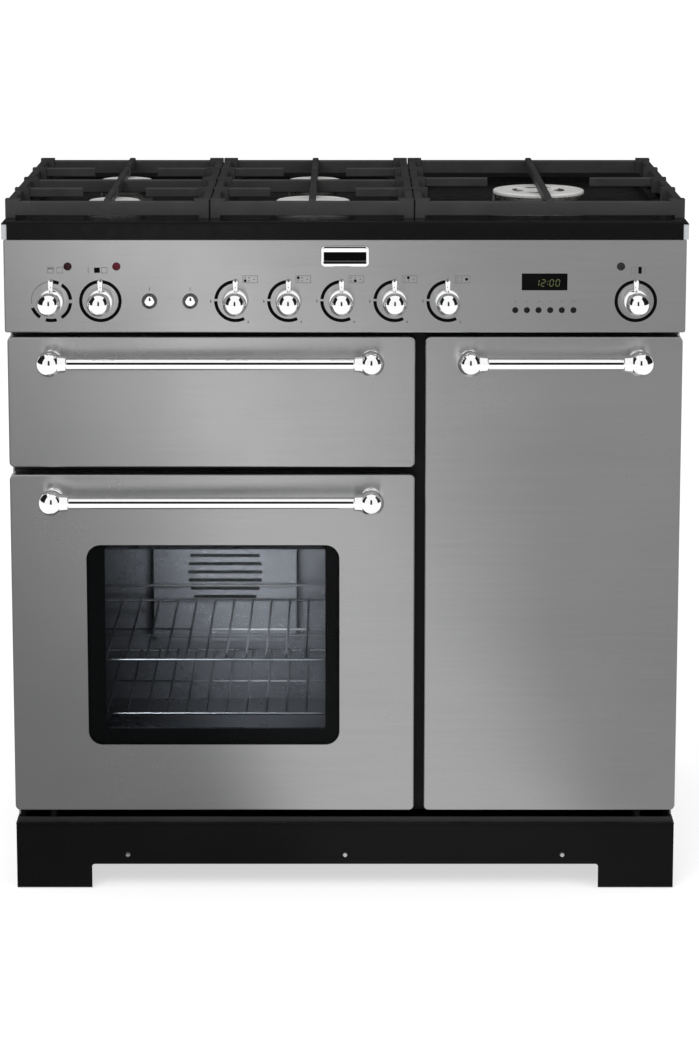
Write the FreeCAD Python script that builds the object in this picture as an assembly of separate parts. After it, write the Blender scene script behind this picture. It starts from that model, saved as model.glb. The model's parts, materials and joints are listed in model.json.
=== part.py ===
import FreeCAD
import Part
import math
import os

# A 90 cm dual fuel range cooker: a five burner gas hob on cast supports, a control panel with
# turning knobs and push buttons, a drop-down grill door, a glazed oven on the left and a tall
# fan oven on the right, all standing on a plinth with two levelling feet and two rear rollers.
# Frame: +Z up, front of the cooker towards -Y, origin on the floor under the middle of its box.
# Depths are measured back from the front face of the hob and turned into Y by at().

# Overall sizes
hob_width = 900.0
hob_depth = 600.0
hob_height = 917.0
hob_side_lap = 4.0
sheet = 2.0
cut_overrun = 5.0
fit_gap = 0.3
running_gap = 0.05
seat_gap = 0.2
parallel_share = 0.999

# Doors: one grid of widths and heights for the three doors
door_setback = 13.0
door_thickness = 36.0
door_skin = 1.5
door_skin_depth = 22.0
door_corner = 7.0
door_edge_round = 2.0
liner_inset = 1.0
liner_rim = 16.0
liner_skin = 1.5
liner_corner = 10.0
mullion_gap = 13.0
left_door_share = 0.6132
doors_over_plinth = 19.0
door_panel_gap = 7.0
grill_door_height = 176.0
grill_gap = 10.0
window_side = 100.5
window_sill = 92.0
window_drop = 96.0
window_corner = 19.0
glass_thickness = 4.0
glass_lap = 12.0
inner_window_margin = 14.0

# Handles
handle_standoff = 38.0
handle_ball_radius = 17.0
handle_bar_radius = 8.0
handle_end_inset = 58.5
handle_drop = 30.0
handle_neck_radius = 8.0
handle_rose_radius = 13.0
handle_rose_thickness = 4.0
handle_socket_depth = 9.0
handle_collar_lap = 5.5
handle_collar_root_radius = 12.5
handle_collar_radius = 10.5
handle_collar_length = 11.0
handle_flare_end = 10.0

# Front frame and cavities
frame_gap = 6.0
frame_sheet = 3.0
frame_over_plinth = 7.0
frame_return = 24.0
cavity_wall = 2.0
rear_space = 152.0
cavity_corner = 14.0
mouth_flange = 12.0
left_cavity_side = 54.5
right_cavity_side = 34.0
cavity_rise = 30.0
left_cavity_drop = 32.0
right_cavity_drop = 34.0
grill_cavity_rise = 26.0
grill_cavity_drop = 22.0
seal_width = 6.0
seal_inset = 2.0

# Door hinges on vertical pins, at the outer edges of the two oven doors
hinge_axis_inset = 2.0
hinge_axis_forward = 6.0
hinge_barrel_radius = 5.0
hinge_pin_radius = 2.5
hinge_knuckle_length = 20.0
hinge_end_margin = 85.0
hinge_notch = 3.0
hinge_arm_half = 2.0

# Grill door hinge, along its bottom edge
grill_pivot_rise = 10.0
grill_pivot_setback = 14.0
grill_pivot_radius = 4.0
grill_lug_thickness = 5.0
grill_lug_inset = 22.0
grill_lug_radius = 7.0
grill_lug_room = 1.5

# Control panel
panel_setback = 4.0
panel_side_lap = 2.0
panel_tall = 124.0
panel_sheet = 2.0
panel_return = 40.0
panel_corner = 3.0
panel_edge_round = 1.5

# Rows of the control panel as shares of its height, and places along it as shares of its half width
knob_row_share = 0.3387
clock_button_row_share = 0.2419
clock_row_share = 0.5444
lamp_row_share = 0.7097
badge_row_share = 0.8185
grill_knob_share = -0.8627
left_knob_share = -0.7176
right_knob_share = 0.8527
hob_knob_first_share = -0.3214
hob_knob_pitch_share = 0.1556
light_button_share = -0.5737
spark_button_share = -0.4542
clock_share = 0.5848
lamp_shares = (-0.8125, -0.6696, 0.8080)

# Knobs and what they turn
knob_panel_gap = 0.8
knob_skirt_radius = 17.0
knob_skirt_thickness = 3.0
knob_neck_radius = 9.5
knob_neck_start = 10.0
knob_ball_radius = 15.5
knob_ball_standoff = 32.0
pointer_reach = 28.5
pointer_tip_width = 7.0
pointer_root_width = 4.6
pointer_thickness = 4.5
pointer_tip_round = 2.4
spindle_radius = 4.0
shaft_hole_radius = 6.0
tap_width = 26.0
tap_height = 34.0
tap_setback = 20.0
tap_depth = 46.0
tap_bore_depth = 12.0
saddle_lap = 6.0
thermostat_radius = 24.0
thermostat_depth = 30.0
post_radius = 3.0

# Push buttons beside the knobs, for the oven light and the spark
button_radius = 7.0
button_front = 5.0
button_stem = 14.0
bezel_radius = 10.2
bezel_thickness = 3.0
button_travel_room = 4.0

# Clock with its window and six small buttons
clock_width = 60.0
clock_tall = 22.4
clock_module_margin = 6.0
clock_module_depth = 30.0
clock_window_recess = 1.0
clock_button_pitch = 15.3
clock_button_radius = 3.7
clock_button_stem = 8.0
clock_button_proud = 1.6
clock_button_count = 6

# Indicator lamps and the blank badge
lamp_radius = 5.4
lamp_dome = 2.2
lamp_stem_radius = 3.2
lamp_stem = 12.0
badge_width = 63.0
badge_tall = 27.0
badge_thickness = 3.0
badge_rim = 3.4
badge_inlay_tall = 12.0
badge_inlay_depth = 0.8
badge_corner = 5.0

# Side panels with the rails that flank the hob
rail_width = 7.0
rail_setback = 1.0
side_bottom = 40.0
rear_clearance = 2.0

# Hob top
hob_sheet = 2.5
hob_edge_height = 24.0
hob_edge_round = 4.0
hob_end_fall = 4.0
hob_end_run = 10.0
hob_end_slope_share = 0.75
well_depth = 8.0
well_margin = 26.0
well_corner = 30.0

# Pan supports: two narrow ones with two burners each and a wide one with one burner
support_front = 34.0
support_rear_gap = 66.0
narrow_support_width = 270.0
support_gap = 1.0
support_bar = 11.0
support_bar_height = 18.0
support_foot_height = 4.0
support_foot_size = 14.0
support_rise = 3.0
finger_width = 9.0
finger_height = 13.0
finger_tip_radius = 14.0
finger_cap_gap = 8.0
lug_length = 20.0
lug_width = 16.0
support_edge_round = 2.0
support_corner = 10.0

# Burners, by cap size
burner_row_share = 0.24
small_cap_radius = 35.0
middle_cap_radius = 37.0
large_cap_radius = 50.0
wok_cap_radius = 63.5
cap_thickness = 5.0
cap_round = 1.8
head_height = 9.0
head_inset = 5.0
head_neck_height = 3.0
port_width = 2.6
port_height = 4.5
port_depth = 3.0
port_pitch = 8.6
cup_height = 24.0
cup_flange = 2.0
cup_share = 0.62
wok_hub_radius = 22.0
wok_slot_outer = 37.0
wok_spoke_width = 10.0
wok_spoke_count = 4
spark_radius = 1.8
spark_tip = 9.0
spark_side_gap = 4.0

# Gas pipework
rail_pipe_radius = 8.0
rail_pipe_gap = 10.0
rail_pipe_drop = 30.0
rail_pipe_overrun = 26.0
inlet_inset = 30.0
feed_pipe_radius = 4.0
feed_bend = 14.0
near_turn_share = 0.43
far_turn_share = 0.6
feed_bend_share = 0.45
feed_offset = 15.0
pipe_bend = 30.0
inlet_radius = 14.0
inlet_bore_radius = 9.3
inlet_bore_depth = 18.0
inlet_length = 30.0
inlet_port = 60.0

# Plinth, base, feet and rollers
plinth_setback = 19.0
plinth_top = 93.0
plinth_floor_gap = 1.0
plinth_arch_height = 34.0
plinth_leg_width = 102.0
plinth_arch_round = 4.0
screw_rise = 13.0
screw_inset = 49.0
screw_head_radius = 3.6
screw_head_proud = 2.0
screw_shank_radius = 2.0
screw_shank = 9.0
base_height = 62.0
base_flange_drop = 24.0
base_front_rise = 2.0
foot_inset = 46.0
foot_setback = 75.0
foot_pad_radius = 19.0
foot_pad_height = 9.0
foot_stem_radius = 5.0
foot_stem_length = 100.0
foot_boss_radius = 10.0
foot_boss_height = 22.0
roller_inset = 51.0
roller_rear_gap = 55.0
roller_radius = 20.0
roller_width = 22.0
axle_radius = 4.0
bracket_ear = 3.0
bracket_half_depth = 16.0
bracket_side_gap = 1.0
roller_hub_radius = 8.0
roller_groove = 3.0

# Inside the ovens
wire = 4.0
ladder_rail = 5.0
ladder_setback = 24.0
ladder_rear_gap = 29.0
ladder_margin = 21.0
rung_inward = 8.0
rung_pitch = 38.0
shelf_front = 30.0
shelf_rear_gap = 4.0
shelf_bar_pitch = 26.0
shelf_side_gap = 3.0
shelf_back_rise = 26.0
left_shelf_shares = (0.125, 0.375)
right_shelf_shares = (0.154, 0.4615, 0.769)
fan_radius = 68.0
fan_thickness = 12.0
fan_hub_radius = 12.0
fan_blade_count = 12
fan_blade = 1.5
fan_disc = 2.0
fan_shaft_radius = 4.0
fan_shaft_length = 40.0
fan_wall_gap = 8.0
fan_cover_width = 210.0
fan_cover_depth = 30.0
fan_cover_sheet = 1.5
fan_slot_share = 0.4
fan_slot_count = 7
fan_slot_margins = 4
motor_radius = 34.0
motor_length = 46.0

# Grill
pan_side_gap = 19.0
pan_rear_gap = 39.0
pan_height = 30.0
pan_sheet = 1.5
pan_floor_gap = 30.0
pan_front_gap = 24.0
runner_lap = 2.0
runner_thickness = 3.0
trivet_inset = 8.0
trivet_drop = 8.0
element_radius = 3.5
element_drop = 16.0
element_runs = 6
element_side = 90.0
element_rear_gap = 73.0
element_front = 60.0


# Places that follow from the sizes above
handle_reach = handle_standoff + handle_ball_radius - door_setback
knob_reach = knob_ball_standoff + knob_ball_radius - panel_setback
hob_front_y = (max(handle_reach, knob_reach) - hob_depth) / 2
half_body = hob_width / 2 - hob_side_lap
half_panel = hob_width / 2 - panel_side_lap
panel_top = hob_height - hob_edge_height
panel_bottom = panel_top - panel_tall
rail_height = hob_edge_height - hob_end_fall
doors_bottom = plinth_top + doors_over_plinth
doors_top = panel_bottom - door_panel_gap
left_door_width = (half_body * 2 - mullion_gap) * left_door_share
left_door_left = -half_body
left_door_right = left_door_left + left_door_width
right_door_left = left_door_right + mullion_gap
right_door_right = half_body
grill_door_bottom = doors_top - grill_door_height
left_oven_door_top = grill_door_bottom - grill_gap
left_mid_x = (left_door_left + left_door_right) / 2
door_rear = door_setback + door_thickness
liner_front = door_setback + door_skin_depth
window_width = left_door_width - window_side * 2
window_top = left_oven_door_top - window_drop
window_bottom = doors_bottom + window_sill
handle_collar_start = handle_ball_radius - handle_collar_lap
frame_setback = door_rear + frame_gap
frame_bottom = plinth_top + frame_over_plinth
cavity_front = frame_setback + frame_sheet
cavity_rear = hob_depth - rear_space
left_cavity_width = left_door_width - left_cavity_side * 2
knob_height = panel_bottom + panel_tall * knob_row_share
clock_button_height = panel_bottom + panel_tall * clock_button_row_share
clock_height = panel_bottom + panel_tall * clock_row_share
lamp_height = panel_bottom + panel_tall * lamp_row_share
badge_height = panel_bottom + panel_tall * badge_row_share
grill_knob_x = half_panel * grill_knob_share
left_knob_x = half_panel * left_knob_share
right_knob_x = half_panel * right_knob_share
hob_knob_first_x = half_panel * hob_knob_first_share
hob_knob_pitch = half_panel * hob_knob_pitch_share
light_button_x = half_panel * light_button_share
spark_button_x = half_panel * spark_button_share
clock_x = half_panel * clock_share
lamp_places = [half_panel * share for share in lamp_shares]
screw_height = plinth_arch_height + screw_rise
screw_spread = half_body - plinth_leg_width - screw_inset
base_front_lap = plinth_arch_height + base_front_rise
foot_x = half_body - foot_inset
roller_x = half_body - roller_inset
roller_setback = hob_depth - roller_rear_gap
rail_pipe_setback = tap_setback + tap_depth + rail_pipe_gap
rail_pipe_left = hob_knob_first_x - rail_pipe_overrun
rail_pipe_right = half_body - inlet_inset
support_rear = hob_depth - support_rear_gap
fan_slot_pitch = fan_radius * 2 / (fan_slot_count + fan_slot_margins)
fan_slot_width = fan_slot_pitch * fan_slot_share
pan_width = left_cavity_width - pan_side_gap * 2
element_pitch = (left_cavity_width - element_side * 2) / (element_runs - 1)
well_floor = hob_height - well_depth
support_bottom = hob_height + support_foot_height
support_top = support_bottom + support_bar_height + support_rise
support_mid = (support_front + support_rear) / 2
support_left_edge = -hob_width / 2 + fit_gap * 5
left_support_x = support_left_edge + narrow_support_width / 2
centre_support_x = left_support_x + narrow_support_width
wide_support_left = centre_support_x + narrow_support_width / 2
wide_support_width = -support_left_edge - wide_support_left
wide_support_x = wide_support_left + wide_support_width / 2
burner_row_offset = (support_rear - support_front) * burner_row_share
front_row = support_mid - burner_row_offset
rear_row = support_mid + burner_row_offset
cap_underside = well_floor + cup_flange + head_height
hob_knob_xs = [hob_knob_first_x + i * hob_knob_pitch for i in range(5)]
burners = {
    "left_rear": (left_support_x, rear_row, middle_cap_radius),
    "left_front": (left_support_x, front_row, small_cap_radius),
    "centre_rear": (centre_support_x, rear_row, middle_cap_radius),
    "centre_front": (centre_support_x, front_row, large_cap_radius),
    "right": (wide_support_x, support_mid, wok_cap_radius),
}


def at(depth):
    """Y of a plane that lies this far behind the front face of the hob."""
    return hob_front_y + depth


def vec(x, y, z):
    return FreeCAD.Vector(x, y, z)


X_AXIS = vec(1, 0, 0)
Y_AXIS = vec(0, 1, 0)
Z_AXIS = vec(0, 0, 1)


def box(x0, x1, y0, y1, z0, z1):
    return Part.makeBox(x1 - x0, y1 - y0, z1 - z0, vec(x0, y0, z0))


def cylinder(centre, axis, radius, length):
    return Part.makeCylinder(radius, length, centre, axis)


def edges_along(shape, axis):
    """Straight edges of a shape that run along an axis."""
    found = []
    for edge in shape.Edges:
        if isinstance(edge.Curve, Part.Line) or isinstance(edge.Curve, Part.LineSegment):
            along = edge.Vertexes[-1].Point - edge.Vertexes[0].Point
            if along.Length > 0 and abs(along.normalize().dot(axis)) > parallel_share:
                found.append(edge)
    return found


def rounded_box(x0, x1, y0, y1, z0, z1, axis, radius):
    """A box whose four edges along one axis are rounded."""
    block = box(x0, x1, y0, y1, z0, z1)
    return block.makeFillet(radius, edges_along(block, axis))


def fused(shapes):
    whole = shapes[0].multiFuse(shapes[1:]) if len(shapes) > 1 else shapes[0]
    return whole.removeSplitter()


def turned(centre_x, base_depth, height, outline):
    """A turned piece about an axis along Y. The outline is (forward, radius) pairs or, for a
    ball, ("ball", centre forward, radius, neck radius), counted forward from base_depth."""
    pieces = []
    for form in outline:
        if form[0] == "ball":
            pieces.append(Part.makeSphere(form[2], vec(centre_x, at(base_depth - form[1]), height)))
        else:
            near, near_radius, far, far_radius = form
            start = vec(centre_x, at(base_depth - near), height)
            if near_radius == far_radius:
                pieces.append(Part.makeCylinder(near_radius, far - near, start, -Y_AXIS))
            else:
                pieces.append(Part.makeCone(near_radius, far_radius, far - near, start, -Y_AXIS))
    return fused(pieces)


def bent_tube(points, bend, radius):
    """A round bar along straight runs joined by tangent arcs of one bend radius."""
    edges = []
    start = points[0]
    for i in range(1, len(points) - 1):
        before = (points[i] - points[i - 1]).normalize()
        after = (points[i + 1] - points[i]).normalize()
        turn = before.getAngle(after)
        setback = bend * math.tan(turn / 2)
        arc_start = points[i] - before * setback
        arc_end = points[i] + after * setback
        inward = (after - before).normalize()
        centre = points[i] + inward * (bend / math.cos(turn / 2))
        arc_middle = centre - inward * bend
        edges.append(Part.makeLine(start, arc_start))
        edges.append(Part.Arc(arc_start, arc_middle, arc_end).toShape())
        start = arc_end
    edges.append(Part.makeLine(start, points[-1]))
    path = Part.Wire(edges)
    first = (points[1] - points[0]).normalize()
    ring = Part.Wire([Part.makeCircle(radius, points[0], first)])
    return path.makePipeShell([ring], True, False)


def save(name, solids):
    """Writes one sub-part, made of one or more separate solids, to its own file."""
    flat = []
    for shape in solids if isinstance(solids, list) else [solids]:
        flat.extend(shape.Solids)
    for solid in flat:
        if not solid.isValid() or solid.Volume <= 0:
            print("not sound:", name)
    body = flat[0] if len(flat) == 1 else Part.makeCompound(flat)
    body.exportStep(os.path.join("parts", name + ".step"))


# Casing


def side_panels():
    """A flat sheet on each side with a rail on top that flanks the hob."""
    pieces = []
    for side in (-1, 1):
        outer = side * half_body
        inner = side * (half_body - sheet)
        rail_outer = side * hob_width / 2
        rail_inner = side * (hob_width / 2 - rail_width)
        panel = box(min(outer, inner), max(outer, inner), at(frame_setback),
                    at(hob_depth - rear_clearance), side_bottom, panel_top)
        rail = box(min(rail_outer, rail_inner), max(rail_outer, rail_inner), at(rail_setback),
                   at(hob_depth - rear_clearance), panel_top, panel_top + rail_height)
        pieces.append(fused([panel, rail]))
    return pieces


def back_panel():
    """The rear sheet, with a port for the gas inlet and a row of vent slots near the top."""
    half = half_body - sheet
    rear = hob_depth - rear_clearance
    panel = box(-half, half, at(rear - sheet), at(rear), base_height, panel_top)
    cuts = [box(rail_pipe_right - inlet_port / 2, half + cut_overrun, at(rear - sheet * 2),
                at(rear + cut_overrun), inlet_height() - inlet_port / 2, inlet_height() + inlet_port / 2)]
    slot_length = left_cavity_width / 8
    for i in range(6):
        left = left_mid_x - left_cavity_width / 2 + i * slot_length * 1.3
        cuts.append(rounded_box(left, left + slot_length, at(rear - sheet * 2), at(rear + sheet),
                                panel_top - inlet_port, panel_top - inlet_port + wire * 2,
                                Y_AXIS, wire - fit_gap))
    return panel.cut(Part.makeCompound(cuts))


def base_frame():
    """The base tray with turned-down flanges, foot bosses and the two roller brackets."""
    half = half_body - sheet
    rear = hob_depth - rear_clearance - sheet
    front = plinth_setback + sheet
    tray = box(-half, half, at(front), at(rear), base_height - sheet, base_height)
    front_flange = box(-half, half, at(front), at(front + sheet), base_front_lap, frame_bottom)
    rear_flange = box(-half, half, at(rear - sheet), at(rear),
                      base_height - base_flange_drop, base_height)
    bosses = []
    cuts = []
    for side in (-1, 1):
        centre = vec(side * foot_x, at(foot_setback), base_height)
        bosses.append(cylinder(centre, Z_AXIS, foot_boss_radius, foot_boss_height))
        bore_start = vec(side * foot_x, at(foot_setback), base_height - sheet * 2)
        cuts.append(cylinder(bore_start, Z_AXIS, foot_stem_radius + running_gap,
                             foot_boss_height + sheet * 4))
    for place in screw_places():
        cuts.append(cylinder(vec(place, at(front - cut_overrun), screw_height), Y_AXIS,
                             screw_shank_radius + running_gap, cut_overrun * 3))
    tray = fused([tray, front_flange, rear_flange] + bosses).cut(Part.makeCompound(cuts))
    return [tray] + [bracket for side in (-1, 1) for bracket in roller_bracket(side)]


def roller_bracket(side):
    """Two ears under the tray, joined by the axle on which one roller turns."""
    inner = roller_width / 2 + bracket_side_gap
    ears = []
    for end in (-1, 1):
        near = side * roller_x + end * inner
        far = near + end * bracket_ear
        ears.append(box(min(near, far), max(near, far), at(roller_setback - bracket_half_depth),
                        at(roller_setback + bracket_half_depth),
                        roller_radius - roller_hub_radius, base_height - sheet))
    start = vec(side * roller_x - inner - bracket_ear, at(roller_setback), roller_radius)
    axle = cylinder(start, X_AXIS, axle_radius, (inner + bracket_ear) * 2)
    return [fused(ears + [axle])]


def roller(side):
    """A solid wheel with two shallow grooves and a hub, bored for its axle."""
    start = vec(side * roller_x - roller_width / 2, at(roller_setback), roller_radius)
    wheel = cylinder(start, X_AXIS, roller_radius, roller_width)
    grooves = []
    for end in (0, 1):
        depth = roller_groove + cut_overrun
        near = side * roller_x - roller_width / 2 - cut_overrun
        if end:
            near = side * roller_x + roller_width / 2 - roller_groove
        place = vec(near, at(roller_setback), roller_radius)
        ring = cylinder(place, X_AXIS, roller_radius - roller_groove, depth)
        grooves.append(ring.cut(cylinder(place, X_AXIS, roller_hub_radius, depth)))
    bore_start = start - X_AXIS * cut_overrun
    grooves.append(cylinder(bore_start, X_AXIS, axle_radius + running_gap,
                            roller_width + cut_overrun * 2))
    return wheel.cut(Part.makeCompound(grooves))


def levelling_foot(side):
    """A round pad on a stem that screws up into the base tray."""
    centre = vec(side * foot_x, at(foot_setback), 0)
    pad = Part.makeCone(foot_pad_radius, foot_stem_radius * 2, foot_pad_height, centre, Z_AXIS)
    stem = cylinder(centre, Z_AXIS, foot_stem_radius, foot_stem_length)
    return fused([pad, stem])


def screw_places():
    return [-screw_spread, 0, screw_spread]


def plinth():
    """A folded sheet whose front is cut away between two wide legs."""
    front = plinth_setback
    outer = box(-half_body, half_body, at(front), at(front + sheet), plinth_floor_gap, plinth_top)
    arch_half = half_body - plinth_leg_width
    arch = rounded_box(-arch_half, arch_half, at(front - cut_overrun), at(front + cut_overrun),
                       -plinth_arch_height, plinth_arch_height, Y_AXIS, plinth_arch_round)
    lip = box(-half_body, half_body, at(front - sheet), at(front), plinth_top - sheet, plinth_top)
    returns = []
    for side in (-1, 1):
        outer_x = side * half_body
        inner_x = side * (half_body - sheet)
        returns.append(box(min(outer_x, inner_x), max(outer_x, inner_x), at(front),
                           at(frame_setback), plinth_floor_gap, plinth_top))
    holes = [cylinder(vec(x, at(front - cut_overrun), screw_height), Y_AXIS,
                      screw_shank_radius + running_gap, cut_overrun * 2) for x in screw_places()]
    return fused([outer.cut(arch), lip] + returns).cut(Part.makeCompound(holes))


def plinth_screws():
    """Pan head screws through the plinth into the base tray's front flange."""
    screws = []
    for x in screw_places():
        face = vec(x, at(plinth_setback), screw_height)
        head = Part.makeCone(screw_head_radius, screw_head_radius * 0.7, screw_head_proud, face, -Y_AXIS)
        shank = cylinder(face, Y_AXIS, screw_shank_radius, screw_shank)
        slot = box(x - screw_head_radius, x + screw_head_radius, at(plinth_setback - cut_overrun),
                   at(plinth_setback - screw_head_proud / 2), screw_height - screw_head_proud / 4,
                   screw_height + screw_head_proud / 4)
        screws.append(fused([head, shank]).cut(slot))
    return screws


# Hob


def hob_wells():
    """The x and depth limits of the three recesses under the pan supports."""
    spans = []
    for centre, width in ((left_support_x, narrow_support_width),
                          (centre_support_x, narrow_support_width),
                          (wide_support_x, wide_support_width)):
        spans.append((centre - width / 2 + well_margin, centre + width / 2 - well_margin,
                      support_front + well_margin, support_rear - well_margin))
    return spans


def hob_top():
    """The pressed hob sheet: a deep front edge, ends that fall over the rails, and three wells."""
    inner_half = hob_width / 2 - rail_width
    bottom = hob_height - hob_edge_height
    cap = box(-hob_width / 2, hob_width / 2, at(0), at(hob_depth), hob_height - hob_end_fall, hob_height)
    cap = end_sloped(cap)
    skirt = box(-inner_half, inner_half, at(0), at(hob_depth), bottom, hob_height)
    hollow = box(-inner_half + hob_sheet, inner_half - hob_sheet, at(hob_sheet),
                 at(hob_depth - hob_sheet), bottom - cut_overrun, hob_height - hob_sheet)
    shell = fused([skirt, cap]).cut(hollow)
    trays = []
    pockets = []
    for x0, x1, d0, d1 in hob_wells():
        trays.append(rounded_box(x0 - hob_sheet, x1 + hob_sheet, at(d0 - hob_sheet), at(d1 + hob_sheet),
                                 well_floor - hob_sheet, hob_height, Z_AXIS, well_corner + hob_sheet))
        pockets.append(rounded_box(x0, x1, at(d0), at(d1), well_floor,
                                   hob_height + cut_overrun, Z_AXIS, well_corner))
    shell = fused([shell] + trays).cut(Part.makeCompound(pockets))
    holes = []
    for x, depth, cap_radius in burners.values():
        holes.append(cylinder(vec(x, at(depth), bottom), Z_AXIS, cap_radius * cup_share,
                              hob_edge_height))
        holes.append(cylinder(vec(spark_x(x, cap_radius), at(depth), bottom), Z_AXIS,
                              spark_radius + fit_gap, hob_edge_height))
    shell = shell.cut(Part.makeCompound(holes))
    front_edges = [e for e in edges_along(shell, X_AXIS)
                   if abs(e.Vertexes[0].Y - at(0)) < fit_gap and e.Vertexes[0].Z > hob_height - fit_gap]
    return shell.makeFillet(hob_edge_round, front_edges)


def end_sloped(cap):
    """The hob's upper sheet with both ends sloped down over the side rails."""
    half = hob_width / 2
    fall = hob_end_fall * hob_end_slope_share
    wedges = []
    for side in (-1, 1):
        outline = [vec(side * (half - hob_end_run), 0, hob_height), vec(side * (half + fall), 0, hob_height),
                   vec(side * (half + fall), 0, hob_height - fall), vec(side * half, 0, hob_height - fall)]
        face = Part.Face(Part.makePolygon(outline + [outline[0]]))
        face.translate(vec(0, at(-cut_overrun), 0))
        wedges.append(face.extrude(vec(0, hob_depth + cut_overrun * 2, 0)))
    return cap.cut(Part.makeCompound(wedges))


def spark_x(burner_x, cap_radius):
    """Where the spark electrode stands, just outside the burner's head on its left."""
    return burner_x - cap_radius + head_inset - spark_side_gap


def burner_bases():
    """For each burner the cup that hangs through the hob, and its spark electrode."""
    pieces = []
    for x, depth, cap_radius in burners.values():
        radius = cap_radius * cup_share
        floor = vec(x, at(depth), well_floor + cup_flange - cup_height)
        cup = cylinder(floor, Z_AXIS, radius - fit_gap, cup_height)
        flange = cylinder(vec(x, at(depth), well_floor), Z_AXIS, cap_radius - head_inset * 2, cup_flange)
        pieces.append(fused([cup, flange]))
        foot = vec(spark_x(x, cap_radius), at(depth), well_floor - hob_sheet * 4)
        pieces.append(cylinder(foot, Z_AXIS, spark_radius, hob_sheet * 4 + spark_tip))
    return pieces


def burner_heads():
    """A ring of flame ports on each cup: a low neck and a slotted crown."""
    heads = []
    for x, depth, cap_radius in burners.values():
        radius = cap_radius - head_inset
        bottom = well_floor + cup_flange
        neck = cylinder(vec(x, at(depth), bottom), Z_AXIS, radius - head_inset, head_neck_height)
        crown = cylinder(vec(x, at(depth), bottom + head_neck_height), Z_AXIS, radius,
                         head_height - head_neck_height)
        count = int(2 * math.pi * radius / port_pitch)
        slots = []
        for i in range(count):
            slot = box(x + radius - port_depth, x + radius + cut_overrun, at(depth) - port_width / 2,
                       at(depth) + port_width / 2, bottom + head_height - port_height,
                       bottom + head_height + cut_overrun)
            slot.rotate(vec(x, at(depth), 0), Z_AXIS, 360.0 * (i + 0.5) / count)
            slots.append(slot)
        heads.append(fused([neck, crown]).cut(Part.makeCompound(slots)))
    return heads


def burner_caps():
    """Flat round lids with an eased rim; the wide one is pierced round its middle."""
    caps = []
    for x, depth, cap_radius in burners.values():
        cap = cylinder(vec(x, at(depth), cap_underside), Z_AXIS, cap_radius, cap_thickness)
        top = [e for e in cap.Edges if e.BoundBox.ZMin > cap_underside + cap_thickness / 2
               and isinstance(e.Curve, Part.Circle)]
        cap = cap.makeFillet(cap_round, top)
        if cap_radius == wok_cap_radius:
            cap = cap.cut(wok_slots(x, depth))
        caps.append(cap)
    return caps


def wok_slots(x, depth):
    """Four arc slots between the wide cap's hub and its rim, parted by spokes."""
    floor = vec(x, at(depth), cap_underside + cap_thickness / 3)
    ring = cylinder(floor, Z_AXIS, wok_slot_outer, cap_thickness)
    ring = ring.cut(cylinder(floor, Z_AXIS, wok_hub_radius, cap_thickness))
    spokes = []
    for i in range(wok_spoke_count // 2):
        spoke = box(x - wok_slot_outer, x + wok_slot_outer, at(depth) - wok_spoke_width / 2,
                    at(depth) + wok_spoke_width / 2, cap_underside, cap_underside + cap_thickness * 2)
        spoke.rotate(vec(x, at(depth), 0), Z_AXIS, 360.0 * (i + 0.5) / wok_spoke_count)
        spokes.append(spoke)
    return ring.cut(Part.makeCompound(spokes))


def pan_support(centre_x, width, spots):
    """A cast frame on four feet with raised lugs along its sides. Over each burner, given by
    its depth and cap radius, two long fingers almost meet and two short ones stop outside it."""
    left = centre_x - width / 2 + support_gap / 2
    right = centre_x + width / 2 - support_gap / 2
    bar_top = support_bottom + support_bar_height
    finger_bottom = support_top - finger_height
    pieces = [support_ring(left, right)]
    walls = [support_front, support_rear]
    if len(spots) > 1:
        walls.insert(1, support_mid)
        pieces.append(rounded_box(left + support_bar / 2, right - support_bar / 2,
                                  at(support_mid - support_bar / 2), at(support_mid + support_bar / 2),
                                  support_bottom, bar_top, X_AXIS, support_edge_round))
    lug_rows = [support_front + lug_width / 2, front_row, support_mid, rear_row,
                support_rear - lug_width / 2]
    for depth in lug_rows:
        for near, far in ((left, left + lug_length), (right - lug_length, right)):
            pieces.append(rounded_box(near, far, at(depth - lug_width / 2), at(depth + lug_width / 2),
                                      support_bottom, support_top, Z_AXIS, support_edge_round))
    for index, (depth, cap_radius) in enumerate(spots):
        stop = cap_radius + finger_cap_gap
        for near, far in ((left + support_bar / 2, centre_x - stop),
                          (centre_x + stop, right - support_bar / 2)):
            pieces.append(rounded_box(near, far, at(depth - finger_width / 2), at(depth + finger_width / 2),
                                      finger_bottom, support_top, X_AXIS, support_edge_round))
        for near, far in ((walls[index], depth - finger_tip_radius),
                          (depth + finger_tip_radius, walls[index + 1])):
            pieces.append(rounded_box(centre_x - finger_width / 2, centre_x + finger_width / 2,
                                      at(near), at(far), finger_bottom, support_top,
                                      Y_AXIS, support_edge_round))
    for near in (left, right - support_foot_size):
        for depth in (support_front, support_rear - support_foot_size):
            pieces.append(rounded_box(near, near + support_foot_size, at(depth),
                                      at(depth + support_foot_size), hob_height + seat_gap,
                                      support_bottom + support_bar_height / 2, Z_AXIS, support_edge_round))
    return fused(pieces)


def support_ring(left, right):
    """The outer bars of a pan support, with rounded corners and eased top edges."""
    bar_top = support_bottom + support_bar_height
    outer = rounded_box(left, right, at(support_front), at(support_rear), support_bottom, bar_top,
                        Z_AXIS, support_corner)
    inner = rounded_box(left + support_bar, right - support_bar, at(support_front + support_bar),
                        at(support_rear - support_bar), support_bottom - cut_overrun,
                        bar_top + cut_overrun, Z_AXIS, support_corner / 2)
    ring = outer.cut(inner)
    top = [e for e in ring.Edges if e.BoundBox.ZMin > bar_top - fit_gap]
    return ring.makeFillet(support_edge_round, top)


# Gas pipework


def inlet_height():
    return knob_height - rail_pipe_drop


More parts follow.
